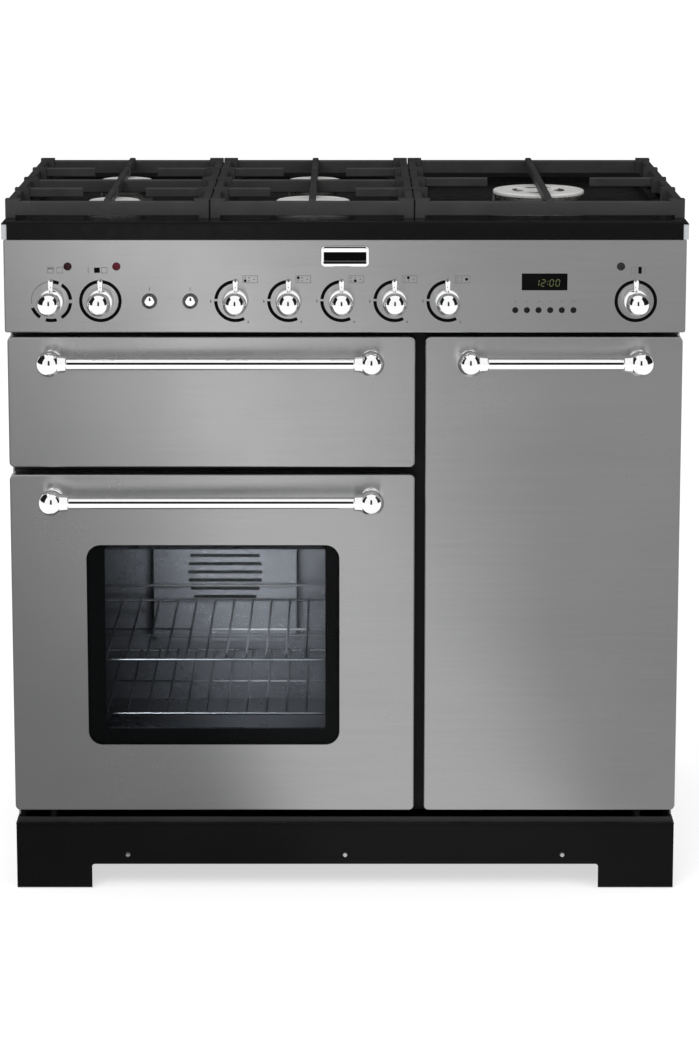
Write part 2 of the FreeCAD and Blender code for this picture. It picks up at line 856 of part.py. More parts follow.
def gas_pipework():
    """The supply rail with its run back to the inlet, and one feed pipe to each burner."""
    height = inlet_height()
    rear = hob_depth - rear_clearance
    elbow_x = rail_pipe_right
    rail_points = [vec(rail_pipe_left, at(rail_pipe_setback), height),
                   vec(elbow_x, at(rail_pipe_setback), height),
                   vec(elbow_x, at(rear - inlet_length), height)]
    rail = bent_tube(rail_points, pipe_bend, rail_pipe_radius)
    socket_start = vec(elbow_x, at(rear - inlet_length), height)
    socket = cylinder(socket_start, Y_AXIS, inlet_radius, inlet_length)
    bore_start = vec(elbow_x, at(rear - inlet_bore_depth), height)
    bore = cylinder(bore_start, Y_AXIS, inlet_bore_radius, inlet_bore_depth + cut_overrun)
    pieces = [rail, socket.cut(bore)]
    return pieces + feed_pipes()


def feed_pipes():
    """Aluminium tubes that leave each tap, turn under the hob and rise into a burner cup."""
    pipes = []
    tap_rear = tap_setback + tap_depth
    routes = [("left_rear", near_turn_share, -feed_offset), ("left_front", far_turn_share, feed_offset),
              ("centre_rear", near_turn_share, -feed_offset), ("centre_front", far_turn_share, feed_offset),
              ("right", near_turn_share, 0)]
    for x, (name, turn_share, offset) in zip(hob_knob_xs, routes):
        burner_x, burner_depth, _ = burners[name]
        height = knob_height + feed_pipe_radius
        cup_floor = well_floor + cup_flange - cup_height
        turn = tap_rear + (front_row - tap_rear) * turn_share
        shortest = min(abs(burner_x + offset - x), burner_depth - turn)
        points = [vec(x, at(tap_rear), height), vec(x, at(turn), height),
                  vec(burner_x + offset, at(turn), height), vec(burner_x + offset, at(burner_depth), height),
                  vec(burner_x + offset, at(burner_depth), cup_floor)]
        pipes.append(bent_tube(points, min(feed_bend, shortest * feed_bend_share), feed_pipe_radius))
    return pipes


def taps_and_switches():
    """Gas taps hung on the rail behind the hob knobs, and round thermostats behind the others."""
    pieces = []
    for x in hob_knob_xs:
        body = box(x - tap_width / 2, x + tap_width / 2, at(tap_setback), at(tap_setback + tap_depth),
                   knob_height - tap_height / 2, knob_height + tap_height / 2)
        saddle = box(x - tap_width / 2, x + tap_width / 2, at(tap_setback + tap_depth - saddle_lap),
                     at(rail_pipe_setback), inlet_height() - rail_pipe_radius,
                     knob_height - tap_height / 2)
        bore = cylinder(vec(x, at(tap_setback - cut_overrun), knob_height), Y_AXIS,
                        spindle_radius + running_gap, tap_bore_depth + cut_overrun)
        rail_room = cylinder(vec(x - tap_width, at(rail_pipe_setback), inlet_height()), X_AXIS,
                             rail_pipe_radius + running_gap, tap_width * 2)
        posts = [post(x + side * tap_width / 3, knob_height) for side in (-1, 1)]
        pieces.append(fused([body, saddle] + posts).cut(Part.makeCompound([bore, rail_room])))
    for x in (grill_knob_x, left_knob_x, right_knob_x):
        drum = cylinder(vec(x, at(tap_setback), knob_height), Y_AXIS, thermostat_radius, thermostat_depth)
        bore = cylinder(vec(x, at(tap_setback - cut_overrun), knob_height), Y_AXIS,
                        spindle_radius + running_gap, tap_bore_depth + cut_overrun)
        posts = [post(x + side * thermostat_radius / 2, knob_height) for side in (-1, 1)]
        pieces.append(fused([drum] + posts).cut(bore))
    return pieces


def post(x, height):
    """A mounting post from a tap or switch forward to the back of the control panel."""
    start = panel_setback + panel_sheet
    return cylinder(vec(x, at(start), height), Y_AXIS, post_radius, tap_setback - start + sheet)


# Control panel and what is in it


def control_panel():
    """A folded steel panel with round holes for spindles, buttons and lamps and a clock window."""
    half = half_panel
    front = panel_setback
    outer = rounded_box(-half, half, at(front), at(frame_setback), panel_bottom, panel_top,
                        Y_AXIS, panel_corner)
    outer = eased_front(outer, front, panel_edge_round)
    inner = box(-half + panel_sheet, half - panel_sheet, at(front + panel_sheet),
                at(frame_setback + cut_overrun), panel_bottom + panel_sheet, panel_top - panel_sheet)
    open_back = box(-half + panel_return, half - panel_return, at(front + panel_return),
                    at(frame_setback + cut_overrun), panel_bottom - cut_overrun, panel_top + cut_overrun)
    cuts = [inner, open_back]
    for x in [grill_knob_x, left_knob_x, right_knob_x] + hob_knob_xs:
        cuts.append(panel_hole(x, knob_height, shaft_hole_radius))
    for x in (light_button_x, spark_button_x):
        cuts.append(panel_hole(x, knob_height, button_radius + fit_gap))
    for x in clock_button_xs():
        cuts.append(panel_hole(x, clock_button_height, clock_button_radius + fit_gap))
    for x in lamp_places:
        cuts.append(panel_hole(x, lamp_height, lamp_stem_radius + running_gap))
    cuts.append(box(clock_x - clock_width / 2, clock_x + clock_width / 2, at(front - cut_overrun),
                    at(front + cut_overrun), clock_height - clock_tall / 2,
                    clock_height + clock_tall / 2))
    return outer.cut(Part.makeCompound(cuts))


def eased_front(shell, front, radius):
    """A folded sheet's outer block with the outline of its front face rounded over."""
    outline = [e for e in shell.Edges if e.BoundBox.YMax < at(front) + fit_gap]
    return shell.makeFillet(radius, outline)


def panel_hole(x, height, radius):
    return cylinder(vec(x, at(panel_setback - cut_overrun), height), Y_AXIS, radius, cut_overrun * 2.5)


def clock_button_xs():
    first = clock_x - clock_button_pitch * (clock_button_count - 1) / 2
    return [first + i * clock_button_pitch for i in range(clock_button_count)]


def knob(x):
    """A turned knob with a ball grip, a pointer above it and the spindle that it drives."""
    neck_end = knob_ball_standoff - knob_ball_radius * 0.8
    outline = [
        (knob_panel_gap, knob_skirt_radius, knob_panel_gap + knob_skirt_thickness, knob_skirt_radius),
        (knob_panel_gap + knob_skirt_thickness, knob_skirt_radius, knob_neck_start, knob_neck_radius),
        (knob_neck_start, knob_neck_radius, neck_end, knob_neck_radius),
        ("ball", knob_ball_standoff, knob_ball_radius),
    ]
    body = turned(x, panel_setback, knob_height, outline)
    root = knob_neck_radius / 2
    corners = [vec(x - pointer_root_width / 2, 0, knob_height + root),
               vec(x + pointer_root_width / 2, 0, knob_height + root),
               vec(x + pointer_tip_width / 2, 0, knob_height + pointer_reach),
               vec(x - pointer_tip_width / 2, 0, knob_height + pointer_reach)]
    face = Part.Face(Part.makePolygon(corners + [corners[0]]))
    face.translate(vec(0, at(panel_setback - knob_panel_gap - pointer_thickness), 0))
    pointer = face.extrude(vec(0, pointer_thickness, 0))
    tip_height = knob_height + pointer_reach - fit_gap
    tips = [e for e in edges_along(pointer, Y_AXIS) if e.Vertexes[0].Z > tip_height]
    pointer = pointer.makeFillet(pointer_tip_round, tips)
    spindle_rear = tap_setback - panel_setback + tap_bore_depth - seat_gap * 5
    spindle = cylinder(vec(x, at(panel_setback + spindle_rear), knob_height), -Y_AXIS, spindle_radius,
                       spindle_rear + knob_neck_start)
    return fused([body, pointer, spindle])


def push_button(x):
    """A domed cap on a stem that slides in through the panel."""
    proud = turned(x, panel_setback, knob_height,
                   [(-button_stem, button_radius, button_front, button_radius)])
    rim = [e for e in proud.Edges if isinstance(e.Curve, Part.Circle)
           and e.BoundBox.YMax < at(panel_setback - button_front / 2)]
    return proud.makeFillet(button_radius / 3, rim)


def clock_button(x):
    """A small round button that stands just proud of the panel."""
    radius = clock_button_radius - running_gap
    pin = turned(x, panel_setback, clock_button_height,
                 [(-clock_button_stem, radius, clock_button_proud, radius)])
    rim = [e for e in pin.Edges if isinstance(e.Curve, Part.Circle)
           and e.BoundBox.YMax < at(panel_setback)]
    return pin.makeFillet(clock_button_proud / 3, rim)


def panel_trims():
    """The rings round the two push buttons, their switch cups, and the blank badge."""
    pieces = []
    for x in (light_button_x, spark_button_x):
        ring = cylinder(vec(x, at(panel_setback), knob_height), -Y_AXIS, bezel_radius, bezel_thickness)
        rim = [e for e in ring.Edges if isinstance(e.Curve, Part.Circle)
               and e.BoundBox.YMax < at(panel_setback - bezel_thickness / 2)]
        ring = ring.makeFillet(bezel_thickness / 2, rim)
        bore = cylinder(vec(x, at(panel_setback + cut_overrun), knob_height), -Y_AXIS,
                        button_radius + fit_gap, bezel_thickness + cut_overrun * 2)
        pieces.append(ring.cut(bore))
    half = badge_width / 2
    plate = rounded_box(-half, half, at(panel_setback - badge_thickness), at(panel_setback),
                        badge_height - badge_tall / 2, badge_height + badge_tall / 2,
                        Y_AXIS, badge_corner)
    inlay = box(-half + badge_rim, half - badge_rim, at(panel_setback - badge_thickness - cut_overrun),
                at(panel_setback - badge_thickness + badge_inlay_depth),
                badge_height - badge_inlay_tall / 2, badge_height + badge_inlay_tall / 2)
    pieces.append(plate.cut(inlay))
    return pieces


def switch_block():
    """The board behind the panel that carries the push switches and the clock's six switches."""
    pieces = []
    rear = panel_setback + button_stem + button_travel_room
    back = rear + sheet
    low = knob_height - bezel_radius * 2
    high = knob_height + bezel_radius * 2
    left = light_button_x - bezel_radius * 2
    right = spark_button_x + bezel_radius * 2
    board = box(left, right, at(rear), at(back), low, high)
    legs = [box(x, x + sheet * 2, at(panel_setback + panel_sheet), at(rear), low, high)
            for x in (left, right - sheet * 2)]
    pieces.append(fused([board] + legs))
    return pieces


def clock_display():
    """The clock module: a window pane in the panel, its case, and a strip behind the buttons."""
    half = clock_width / 2
    tall = clock_tall / 2
    front = panel_setback + clock_window_recess
    back = panel_setback + panel_sheet
    pane = box(clock_x - half + running_gap, clock_x + half - running_gap, at(front), at(back),
               clock_height - tall + running_gap, clock_height + tall - running_gap)
    case = box(clock_x - half - clock_module_margin, clock_x + half + clock_module_margin, at(back),
               at(back + clock_module_depth), clock_height - tall - clock_module_margin,
               clock_height + tall + clock_module_margin)
    strip_front = panel_setback + clock_button_stem + button_travel_room / 2
    places = clock_button_xs()
    strip = box(places[0] - clock_button_radius * 2, places[-1] + clock_button_radius * 2,
                at(strip_front), at(back + clock_module_depth),
                clock_button_height - clock_button_radius * 2,
                clock_height - tall - clock_module_margin)
    return fused([pane, case, strip])


def indicator_lenses():
    """Three domed lamps, each on a stem through the panel."""
    lenses = []
    for x in lamp_places:
        face = vec(x, at(panel_setback), lamp_height)
        dome = cylinder(face, -Y_AXIS, lamp_radius, lamp_dome)
        rim = [e for e in dome.Edges if isinstance(e.Curve, Part.Circle)
               and e.BoundBox.YMax < at(panel_setback - lamp_dome / 2)]
        dome = dome.makeFillet(lamp_dome * 0.8, rim)
        stem = cylinder(face, Y_AXIS, lamp_stem_radius, lamp_stem)
        lenses.append(fused([dome, stem]))
    return lenses


# Front frame, cavities and seals


def cavity_box(name):
    """Inner limits of a cavity, set in from the edges of its door: x0, x1, z0, z1."""
    if name == "right":
        return (right_door_left + right_cavity_side, right_door_right - right_cavity_side,
                doors_bottom + cavity_rise, doors_top - right_cavity_drop)
    left = left_door_left + left_cavity_side
    right = left_door_right - left_cavity_side
    if name == "grill":
        return (left, right, grill_door_bottom + grill_cavity_rise, doors_top - grill_cavity_drop)
    return (left, right, doors_bottom + cavity_rise, left_oven_door_top - left_cavity_drop)


def oven_doors():
    """For each oven door: which side its hinges are on, and its bottom and top."""
    return {"left": (-1, doors_bottom, left_oven_door_top), "right": (1, doors_bottom, doors_top)}


def hinge_heights(name):
    """Heights of the joint between the fixed and the moving knuckle of each hinge."""
    _, bottom, top = oven_doors()[name]
    return (bottom + hinge_end_margin, top - hinge_end_margin)


def hinge_x(side):
    return side * (half_body - hinge_axis_inset)


def hinge_depth():
    return door_rear - hinge_axis_forward


def front_frame():
    """The black frame behind the doors, with three mouths, side returns and the fixed hinge
    knuckles, each with its pin, and the two pivots of the grill door."""
    half = half_body - sheet
    back = frame_setback + frame_sheet
    plate = box(-half, half, at(frame_setback), at(back), frame_bottom, panel_bottom)
    mouths = []
    for name in ("left", "grill", "right"):
        x0, x1, z0, z1 = cavity_box(name)
        mouths.append(rounded_box(x0, x1, at(frame_setback - cut_overrun), at(back + cut_overrun),
                                  z0, z1, Y_AXIS, cavity_corner))
    returns = [box(min(side * half, side * (half - sheet)), max(side * half, side * (half - sheet)),
                   at(frame_setback), at(frame_setback + frame_return), frame_bottom, panel_bottom)
               for side in (-1, 1)]
    pieces = [fused([plate] + returns).cut(Part.makeCompound(mouths))]
    for name, (side, _, _) in oven_doors().items():
        for height in hinge_heights(name):
            pieces.append(fixed_knuckle(side, height))
    for side in (-1, 1):
        pieces.append(grill_pivot(side))
    return pieces


def fixed_knuckle(side, height):
    """A barrel under the moving one, its pin standing up, and an arm back to the frame."""
    x = hinge_x(side)
    start = vec(x, at(hinge_depth()), height - hinge_knuckle_length)
    barrel = cylinder(start, Z_AXIS, hinge_barrel_radius, hinge_knuckle_length)
    pin = cylinder(start, Z_AXIS, hinge_pin_radius, hinge_knuckle_length * 1.8)
    arm = box(x - hinge_arm_half, x + hinge_arm_half, at(hinge_depth()), at(frame_setback),
              height - hinge_knuckle_length, height)
    return fused([barrel, pin, arm])


def grill_pivot_x(side):
    """The plane of the grill door's lug, on its left or right."""
    return left_mid_x + side * (left_door_width / 2 - grill_lug_inset)


def grill_pivot_depth():
    return door_setback + grill_pivot_setback


def grill_pivot(side):
    """A bracket from the frame that holds one pivot pin of the grill door."""
    lug_x = grill_pivot_x(side)
    near = lug_x - side * (grill_lug_thickness / 2 + bracket_side_gap)
    far = near - side * grill_lug_thickness
    height = grill_door_bottom + grill_pivot_rise
    pivot = vec(far, at(grill_pivot_depth()), height)
    arm = box(min(near, far), max(near, far), at(grill_pivot_depth()), at(frame_setback),
              height - grill_lug_radius, height + grill_lug_radius)
    nose = cylinder(pivot, X_AXIS * side, grill_lug_radius, grill_lug_thickness)
    pin = cylinder(pivot, X_AXIS * side, grill_pivot_radius,
                   grill_lug_thickness * 2 + bracket_side_gap * 2)
    return fused([arm, nose, pin])


def cavity(name):
    """An enamelled box with a flange against the frame and a hole for the fan's shaft."""
    x0, x1, z0, z1 = cavity_box(name)
    wall = cavity_wall
    outer = rounded_box(x0 - wall, x1 + wall, at(cavity_front), at(cavity_rear + wall),
                        z0 - wall, z1 + wall, Y_AXIS, cavity_corner + wall)
    flange = rounded_box(x0 - mouth_flange, x1 + mouth_flange, at(cavity_front), at(cavity_front + wall),
                         z0 - mouth_flange, z1 + mouth_flange, Y_AXIS, cavity_corner)
    inner = rounded_box(x0, x1, at(cavity_front - cut_overrun), at(cavity_rear), z0, z1,
                        Y_AXIS, cavity_corner)
    cuts = [inner]
    if name != "grill":
        fan_x, fan_height = fan_centre(name)
        cuts.append(cylinder(vec(fan_x, at(cavity_rear - cut_overrun), fan_height), Y_AXIS,
                             fan_shaft_radius + fit_gap * 2, cut_overrun * 2 + wall))
    return fused([outer, flange]).cut(Part.makeCompound(cuts))


def door_seals():
    """A rope seal round each oven's mouth, on the face of the frame."""
    seals = []
    for name in ("left", "right"):
        x0, x1, z0, z1 = cavity_box(name)
        gap = seal_inset
        outer = rounded_box(x0 - gap - seal_width, x1 + gap + seal_width, at(door_rear + fit_gap),
                            at(frame_setback), z0 - gap - seal_width, z1 + gap + seal_width,
                            Y_AXIS, cavity_corner + gap + seal_width)
        inner = rounded_box(x0 - gap, x1 + gap, at(door_rear - cut_overrun), at(frame_setback + cut_overrun),
                            z0 - gap, z1 + gap, Y_AXIS, cavity_corner + gap)
        seals.append(outer.cut(inner))
    return seals


# Doors


def door_panel(x0, x1, z0, z1):
    """A folded steel door front with rounded corners, hollow behind."""
    outer = rounded_box(x0, x1, at(door_setback), at(liner_front), z0, z1, Y_AXIS, door_corner)
    outer = eased_front(outer, door_setback, door_edge_round)
    inner = rounded_box(x0 + door_skin, x1 - door_skin, at(door_setback + door_skin),
                        at(liner_front + cut_overrun), z0 + door_skin, z1 - door_skin,
                        Y_AXIS, door_corner - door_skin)
    return outer.cut(inner)


def door_liner(x0, x1, z0, z1):
    """The enamelled inner pan of a door: a thick rim and a thin rear skin."""
    outer = rounded_box(x0 + liner_inset, x1 - liner_inset, at(liner_front), at(door_rear),
                        z0 + liner_inset, z1 - liner_inset, Y_AXIS, door_corner)
    inner = rounded_box(x0 + liner_rim, x1 - liner_rim, at(liner_front - cut_overrun),
                        at(door_rear - liner_skin), z0 + liner_rim, z1 - liner_rim,
                        Y_AXIS, liner_corner)
    return outer.cut(inner)


def with_knuckles(shell, name):
    """A door's liner with clearance round the fixed knuckles and its own bored knuckles."""
    side, _, _ = oven_doors()[name]
    cuts = []
    adds = []
    reach = hinge_barrel_radius + hinge_notch
    x = hinge_x(side)
    for height in hinge_heights(name):
        cuts.append(box(x - reach, x + reach, at(hinge_depth() - reach), at(door_rear + cut_overrun),
                        height - hinge_knuckle_length - hinge_notch,
                        height + hinge_knuckle_length + hinge_notch))
        start = vec(x, at(hinge_depth()), height + seat_gap)
        length = hinge_knuckle_length - seat_gap
        barrel = cylinder(start, Z_AXIS, hinge_barrel_radius, length)
        arm = box(min(x, x - side * reach), max(x, x - side * reach),
                  at(hinge_depth() - hinge_arm_half), at(hinge_depth() + hinge_arm_half),
                  height + seat_gap, height + hinge_knuckle_length)
        bore = cylinder(start - Z_AXIS * cut_overrun, Z_AXIS, hinge_pin_radius + running_gap,
                        length + cut_overrun * 2)
        adds.append((fused([barrel, arm]), bore))
    shell = shell.cut(Part.makeCompound(cuts))
    for knuckle, bore in adds:
        shell = fused([shell, knuckle]).cut(bore)
    return shell


def handle(x0, x1, door_top):
    """A round bar held by two turned ball ends, each on a rose against the door."""
    height = door_top - handle_drop
    left = x0 + handle_end_inset
    right = x1 - handle_end_inset
    bar_depth = door_setback - handle_standoff
    reach = handle_ball_radius - handle_socket_depth
    pieces = []
    for x, inward in ((left, 1), (right, -1)):
        outline = [(0, handle_rose_radius, handle_rose_thickness, handle_rose_radius),
                   (handle_rose_thickness, handle_rose_radius, handle_flare_end, handle_neck_radius),
                   (handle_flare_end, handle_neck_radius, handle_standoff - handle_ball_radius / 2,
                    handle_neck_radius),
                   ("ball", handle_standoff, handle_ball_radius)]
        end = turned(x, door_setback, height, outline)
        collar = Part.makeCone(handle_collar_root_radius, handle_collar_radius, handle_collar_length,
                               vec(x + inward * handle_collar_start, at(bar_depth), height),
                               X_AXIS * inward)
        socket = cylinder(vec(x + inward * reach, at(bar_depth), height), X_AXIS * inward,
                          handle_bar_radius + running_gap, handle_socket_depth + handle_ball_radius)
        pieces.append(fused([end, collar]).cut(socket))
    pieces.append(cylinder(vec(left + reach, at(bar_depth), height), X_AXIS, handle_bar_radius,
                           right - left - reach * 2))
    return pieces


def window_cut(margin, near, far, radius):
    """A block for the oven door's window opening, wider than the window by a margin."""
    half = window_width / 2 + margin
    return rounded_box(left_mid_x - half, left_mid_x + half, at(near), at(far),
                       window_bottom - margin, window_top + margin, Y_AXIS, radius)


def left_door():
    """The glazed door: panel, liner, and an outer and an inner pane."""
    limits = (left_door_left, left_door_right, doors_bottom, left_oven_door_top)
    panel = door_panel(*limits)
    panel = panel.cut(window_cut(0, door_setback - cut_overrun, door_setback + cut_overrun, window_corner))
    liner = with_knuckles(door_liner(*limits), "left")
    inner_margin = -inner_window_margin
    liner = liner.cut(window_cut(inner_margin, door_rear - cut_overrun, door_rear + cut_overrun,
                                 window_corner / 2))
    outer_front = door_setback + door_skin
    outer_pane = window_cut(glass_lap, outer_front, outer_front + glass_thickness, window_corner)
    inner_rear = door_rear - liner_skin
    inner_pane = window_cut(inner_margin + glass_lap, inner_rear - glass_thickness, inner_rear,
                            window_corner)
    return panel, liner, [outer_pane, inner_pane]


def right_door():
    """The tall plain door and its liner."""
    limits = (right_door_left, right_door_right, doors_bottom, doors_top)
    return door_panel(*limits), with_knuckles(door_liner(*limits), "right")


def grill_door():
    """The drop-down door: its liner carries a bored lug at each end for the pivot pins."""
    limits = (left_door_left, left_door_right, grill_door_bottom, doors_top)
    panel = door_panel(*limits)
    liner = door_liner(*limits)
    height = grill_door_bottom + grill_pivot_rise
    reach = grill_lug_radius + grill_lug_room
    for side in (-1, 1):
        lug_x = grill_pivot_x(side)
        outer = lug_x + side * grill_lug_thickness / 2
        inner = outer - side * (grill_lug_thickness * 2 + bracket_side_gap * 2)
        room = box(min(inner, outer), max(inner, outer), at(grill_pivot_depth() - reach),
                   at(door_rear + cut_overrun), grill_door_bottom - cut_overrun, height + reach)
        lug = box(lug_x - grill_lug_thickness / 2, lug_x + grill_lug_thickness / 2,
                  at(grill_pivot_depth() - grill_lug_radius), at(door_rear),
                  height - grill_lug_radius, height + grill_lug_radius)
        bore = cylinder(vec(lug_x - grill_lug_thickness, at(grill_pivot_depth()), height), X_AXIS,
                        grill_pivot_radius + running_gap, grill_lug_thickness * 2)
        panel = panel.cut(room)
        liner = fused([liner.cut(room), lug]).cut(bore)
    return panel, liner


# Inside the ovens


def ladder(wall_x, inward, bottom, top):
    """A wire side rack: two uprights against the wall and rungs that stand inward."""
    front = frame_setback + ladder_setback
    rear = cavity_rear - ladder_rear_gap
    low = bottom + ladder_margin
    high = top - ladder_margin
    pieces = []
    for depth in (front, rear - ladder_rail):
        x1 = wall_x + inward * ladder_rail
        pieces.append(box(min(wall_x, x1), max(wall_x, x1), at(depth), at(depth + ladder_rail), low, high))
    for height in rung_heights(bottom, top):
        near = wall_x + inward * (ladder_rail - wire / 2)
        far = near + inward * rung_inward
        pieces.append(box(min(near, far), max(near, far), at(front), at(rear), height, height + wire))
    return fused(pieces)


def rung_heights(bottom, top):
    low = bottom + ladder_margin
    count = int((top - bottom - ladder_margin * 2) / rung_pitch)
    return [low + rung_pitch * (i + 0.5) for i in range(count)]


def shelf_rungs(name):
    """The rungs, counted from the bottom, that carry an oven's shelves."""
    _, _, bottom, top = cavity_box(name)
    last = len(rung_heights(bottom, top)) - 1
    shares = left_shelf_shares if name == "left" else right_shelf_shares
    return [round(share * last) for share in shares]


def shelf_ladders():
    pieces = []
    for name in ("left", "right"):
        x0, x1, z0, z1 = cavity_box(name)
        pieces.append(ladder(x0, 1, z0, z1))
        pieces.append(ladder(x1, -1, z0, z1))
    return pieces


def shelf(x0, x1, height):
    """A wire shelf: a frame, bars from front to back, and a raised stop at the back."""
    left = x0 + ladder_rail + shelf_side_gap
    right = x1 - ladder_rail - shelf_side_gap
    front = frame_setback + shelf_front
    rear = cavity_rear - fan_cover_depth - shelf_rear_gap
    plate = box(left, right, at(front), at(rear), height, height + wire)
    count = max(2, int((right - left - wire) / shelf_bar_pitch))
    pitch = (right - left - wire) / count
    holes = []
    for i in range(count):
        near = left + wire + i * pitch
        for d0, d1 in ((front + wire, (front + rear) / 2 - wire / 2),
                       ((front + rear) / 2 + wire / 2, rear - wire)):
            holes.append(box(near, near + pitch - wire, at(d0), at(d1), height - wire, height + wire * 2))
    stop = box(left + rung_inward, right - rung_inward, at(rear - wire), at(rear),
               height, height + shelf_back_rise)
    window = box(left + rung_inward + wire, right - rung_inward - wire, at(rear - wire * 2), at(rear + wire),
                 height + wire, height + shelf_back_rise - wire)
    return fused([plate.cut(Part.makeCompound(holes)), stop.cut(window)])


def oven_shelves():
    pieces = []
    for name in ("left", "right"):
        x0, x1, z0, z1 = cavity_box(name)
        heights = rung_heights(z0, z1)
        for rung in shelf_rungs(name):
            pieces.append(shelf(x0, x1, heights[rung] + wire))
    return pieces


def fan_centre(name):
    x0, x1, z0, z1 = cavity_box(name)
    return (x0 + x1) / 2, (z0 + z1) / 2


def oven_fan(name):
    """A bladed wheel on a shaft that runs back through the cavity wall to the motor."""
    x, height = fan_centre(name)
    rear = cavity_rear - fan_wall_gap
    disc = cylinder(vec(x, at(rear), height), -Y_AXIS, fan_radius, fan_disc)
    hub = cylinder(vec(x, at(rear), height), -Y_AXIS, fan_hub_radius, fan_thickness)
    pieces = [disc, hub]
    for i in range(fan_blade_count):
        blade = box(x + fan_radius / 2, x + fan_radius, at(rear - fan_thickness), at(rear),
                    height - fan_blade / 2, height + fan_blade / 2)
        blade.rotate(vec(x, 0, height), Y_AXIS, 360.0 * i / fan_blade_count)
        pieces.append(blade)
    shaft = cylinder(vec(x, at(rear - fan_thickness), height), Y_AXIS, fan_shaft_radius, fan_shaft_length)
    return fused(pieces + [shaft])


def fan_housings():
    """A slotted cover in front of each fan and the motor behind the cavity wall."""
    pieces = []
    face = cavity_rear - fan_cover_depth
    for name in ("left", "right"):
        x, height = fan_centre(name)
        half = fan_cover_width / 2
        cover = rounded_box(x - half, x + half, at(face), at(cavity_rear), height - half,
                            height + half, Y_AXIS, cavity_corner)
        inner = rounded_box(x - half + fan_cover_sheet, x + half - fan_cover_sheet,
                            at(face + fan_cover_sheet), at(cavity_rear + cut_overrun),
                            height - half + fan_cover_sheet, height + half - fan_cover_sheet,
                            Y_AXIS, cavity_corner - fan_cover_sheet)
        cuts = [inner]
        for i in range(fan_slot_count):
            rise = (i - (fan_slot_count - 1) / 2) * fan_slot_pitch
            reach = math.sqrt(max(0.0, fan_radius ** 2 - rise ** 2)) * 0.8
            cuts.append(box(x - reach, x + reach, at(face - cut_overrun),
                            at(face + cut_overrun), height + rise - fan_slot_width / 2,
                            height + rise + fan_slot_width / 2))
        pieces.append(cover.cut(Part.makeCompound(cuts)))
        start = cavity_rear + cavity_wall
        motor = cylinder(vec(x, at(start), height), Y_AXIS, motor_radius, motor_length)
        bore_depth = fan_shaft_length - fan_thickness - fan_wall_gap - cavity_wall + seat_gap * 5
        bore = cylinder(vec(x, at(start - cut_overrun), height), Y_AXIS, fan_shaft_radius + running_gap,
                        bore_depth + cut_overrun)
        pieces.append(motor.cut(bore))
    return pieces


def grill_pan():
    """The enamelled pan on its two side runners, with a wire trivet inside."""
    x0, x1, z0, _ = cavity_box("grill")
    left = left_mid_x - pan_width / 2
    right = left_mid_x + pan_width / 2
    front = frame_setback + pan_front_gap
    rear = cavity_rear - pan_rear_gap
    floor = z0 + pan_floor_gap
    top = floor + pan_height
    outer = rounded_box(left, right, at(front), at(rear), floor, top, Z_AXIS, cavity_corner)
    inner = rounded_box(left + pan_sheet, right - pan_sheet, at(front + pan_sheet), at(rear - pan_sheet),
                        floor + pan_sheet, top + cut_overrun, Z_AXIS, cavity_corner - pan_sheet)
    runners = []
    for near, far in ((x0, left + runner_lap), (right - runner_lap, x1)):
        runners.append(box(near, far, at(front), at(rear), floor - runner_thickness, floor))
    trivet_top = top - trivet_drop
    t0 = left + trivet_inset
    t1 = right - trivet_inset
    plate = box(t0, t1, at(front + trivet_inset), at(rear - trivet_inset), trivet_top - wire, trivet_top)
    count = int((t1 - t0 - wire) / shelf_bar_pitch)
    pitch = (t1 - t0 - wire) / count
    holes = [box(t0 + wire + i * pitch, t0 + (i + 1) * pitch, at(front + trivet_inset + wire),
                 at(rear - trivet_inset - wire), trivet_top - wire * 2, trivet_top + wire)
             for i in range(count)]
    legs = [box(x, x + wire, at(d), at(d + wire), floor + pan_sheet, trivet_top)
            for x in (t0, t1 - wire) for d in (front + trivet_inset, rear - trivet_inset - wire)]
    trivet = fused([plate.cut(Part.makeCompound(holes))] + legs)
    return [outer.cut(inner)] + runners + [trivet]


def grill_element():
    """A rod bent to and fro under the roof of the grill, hung from two clips."""
    x0, x1, _, z1 = cavity_box("grill")
    height = z1 - element_drop
    front = frame_setback + element_front
    rear = cavity_rear - element_rear_gap
    first = left_mid_x - element_pitch * (element_runs - 1) / 2
    points = [vec(first, at(cavity_rear), height), vec(first, at(front), height)]
    for i in range(1, element_runs):
        x = first + i * element_pitch
        depth = front if i % 2 else rear
        points.append(vec(x, at(depth), height))
        other = rear if i % 2 else front
        points.append(vec(x, at(other if i < element_runs - 1 else cavity_rear), height))
    rod = bent_tube(points, element_pitch / 2 - element_radius / 2, element_radius)
    clips = []
    for depth in (front + (rear - front) / 4, rear - (rear - front) / 4):
        clips.append(box(first - element_pitch / 2, -first + 2 * left_mid_x + element_pitch / 2,
                         at(depth), at(depth + wire), height + element_radius, z1))
    return [rod] + clips


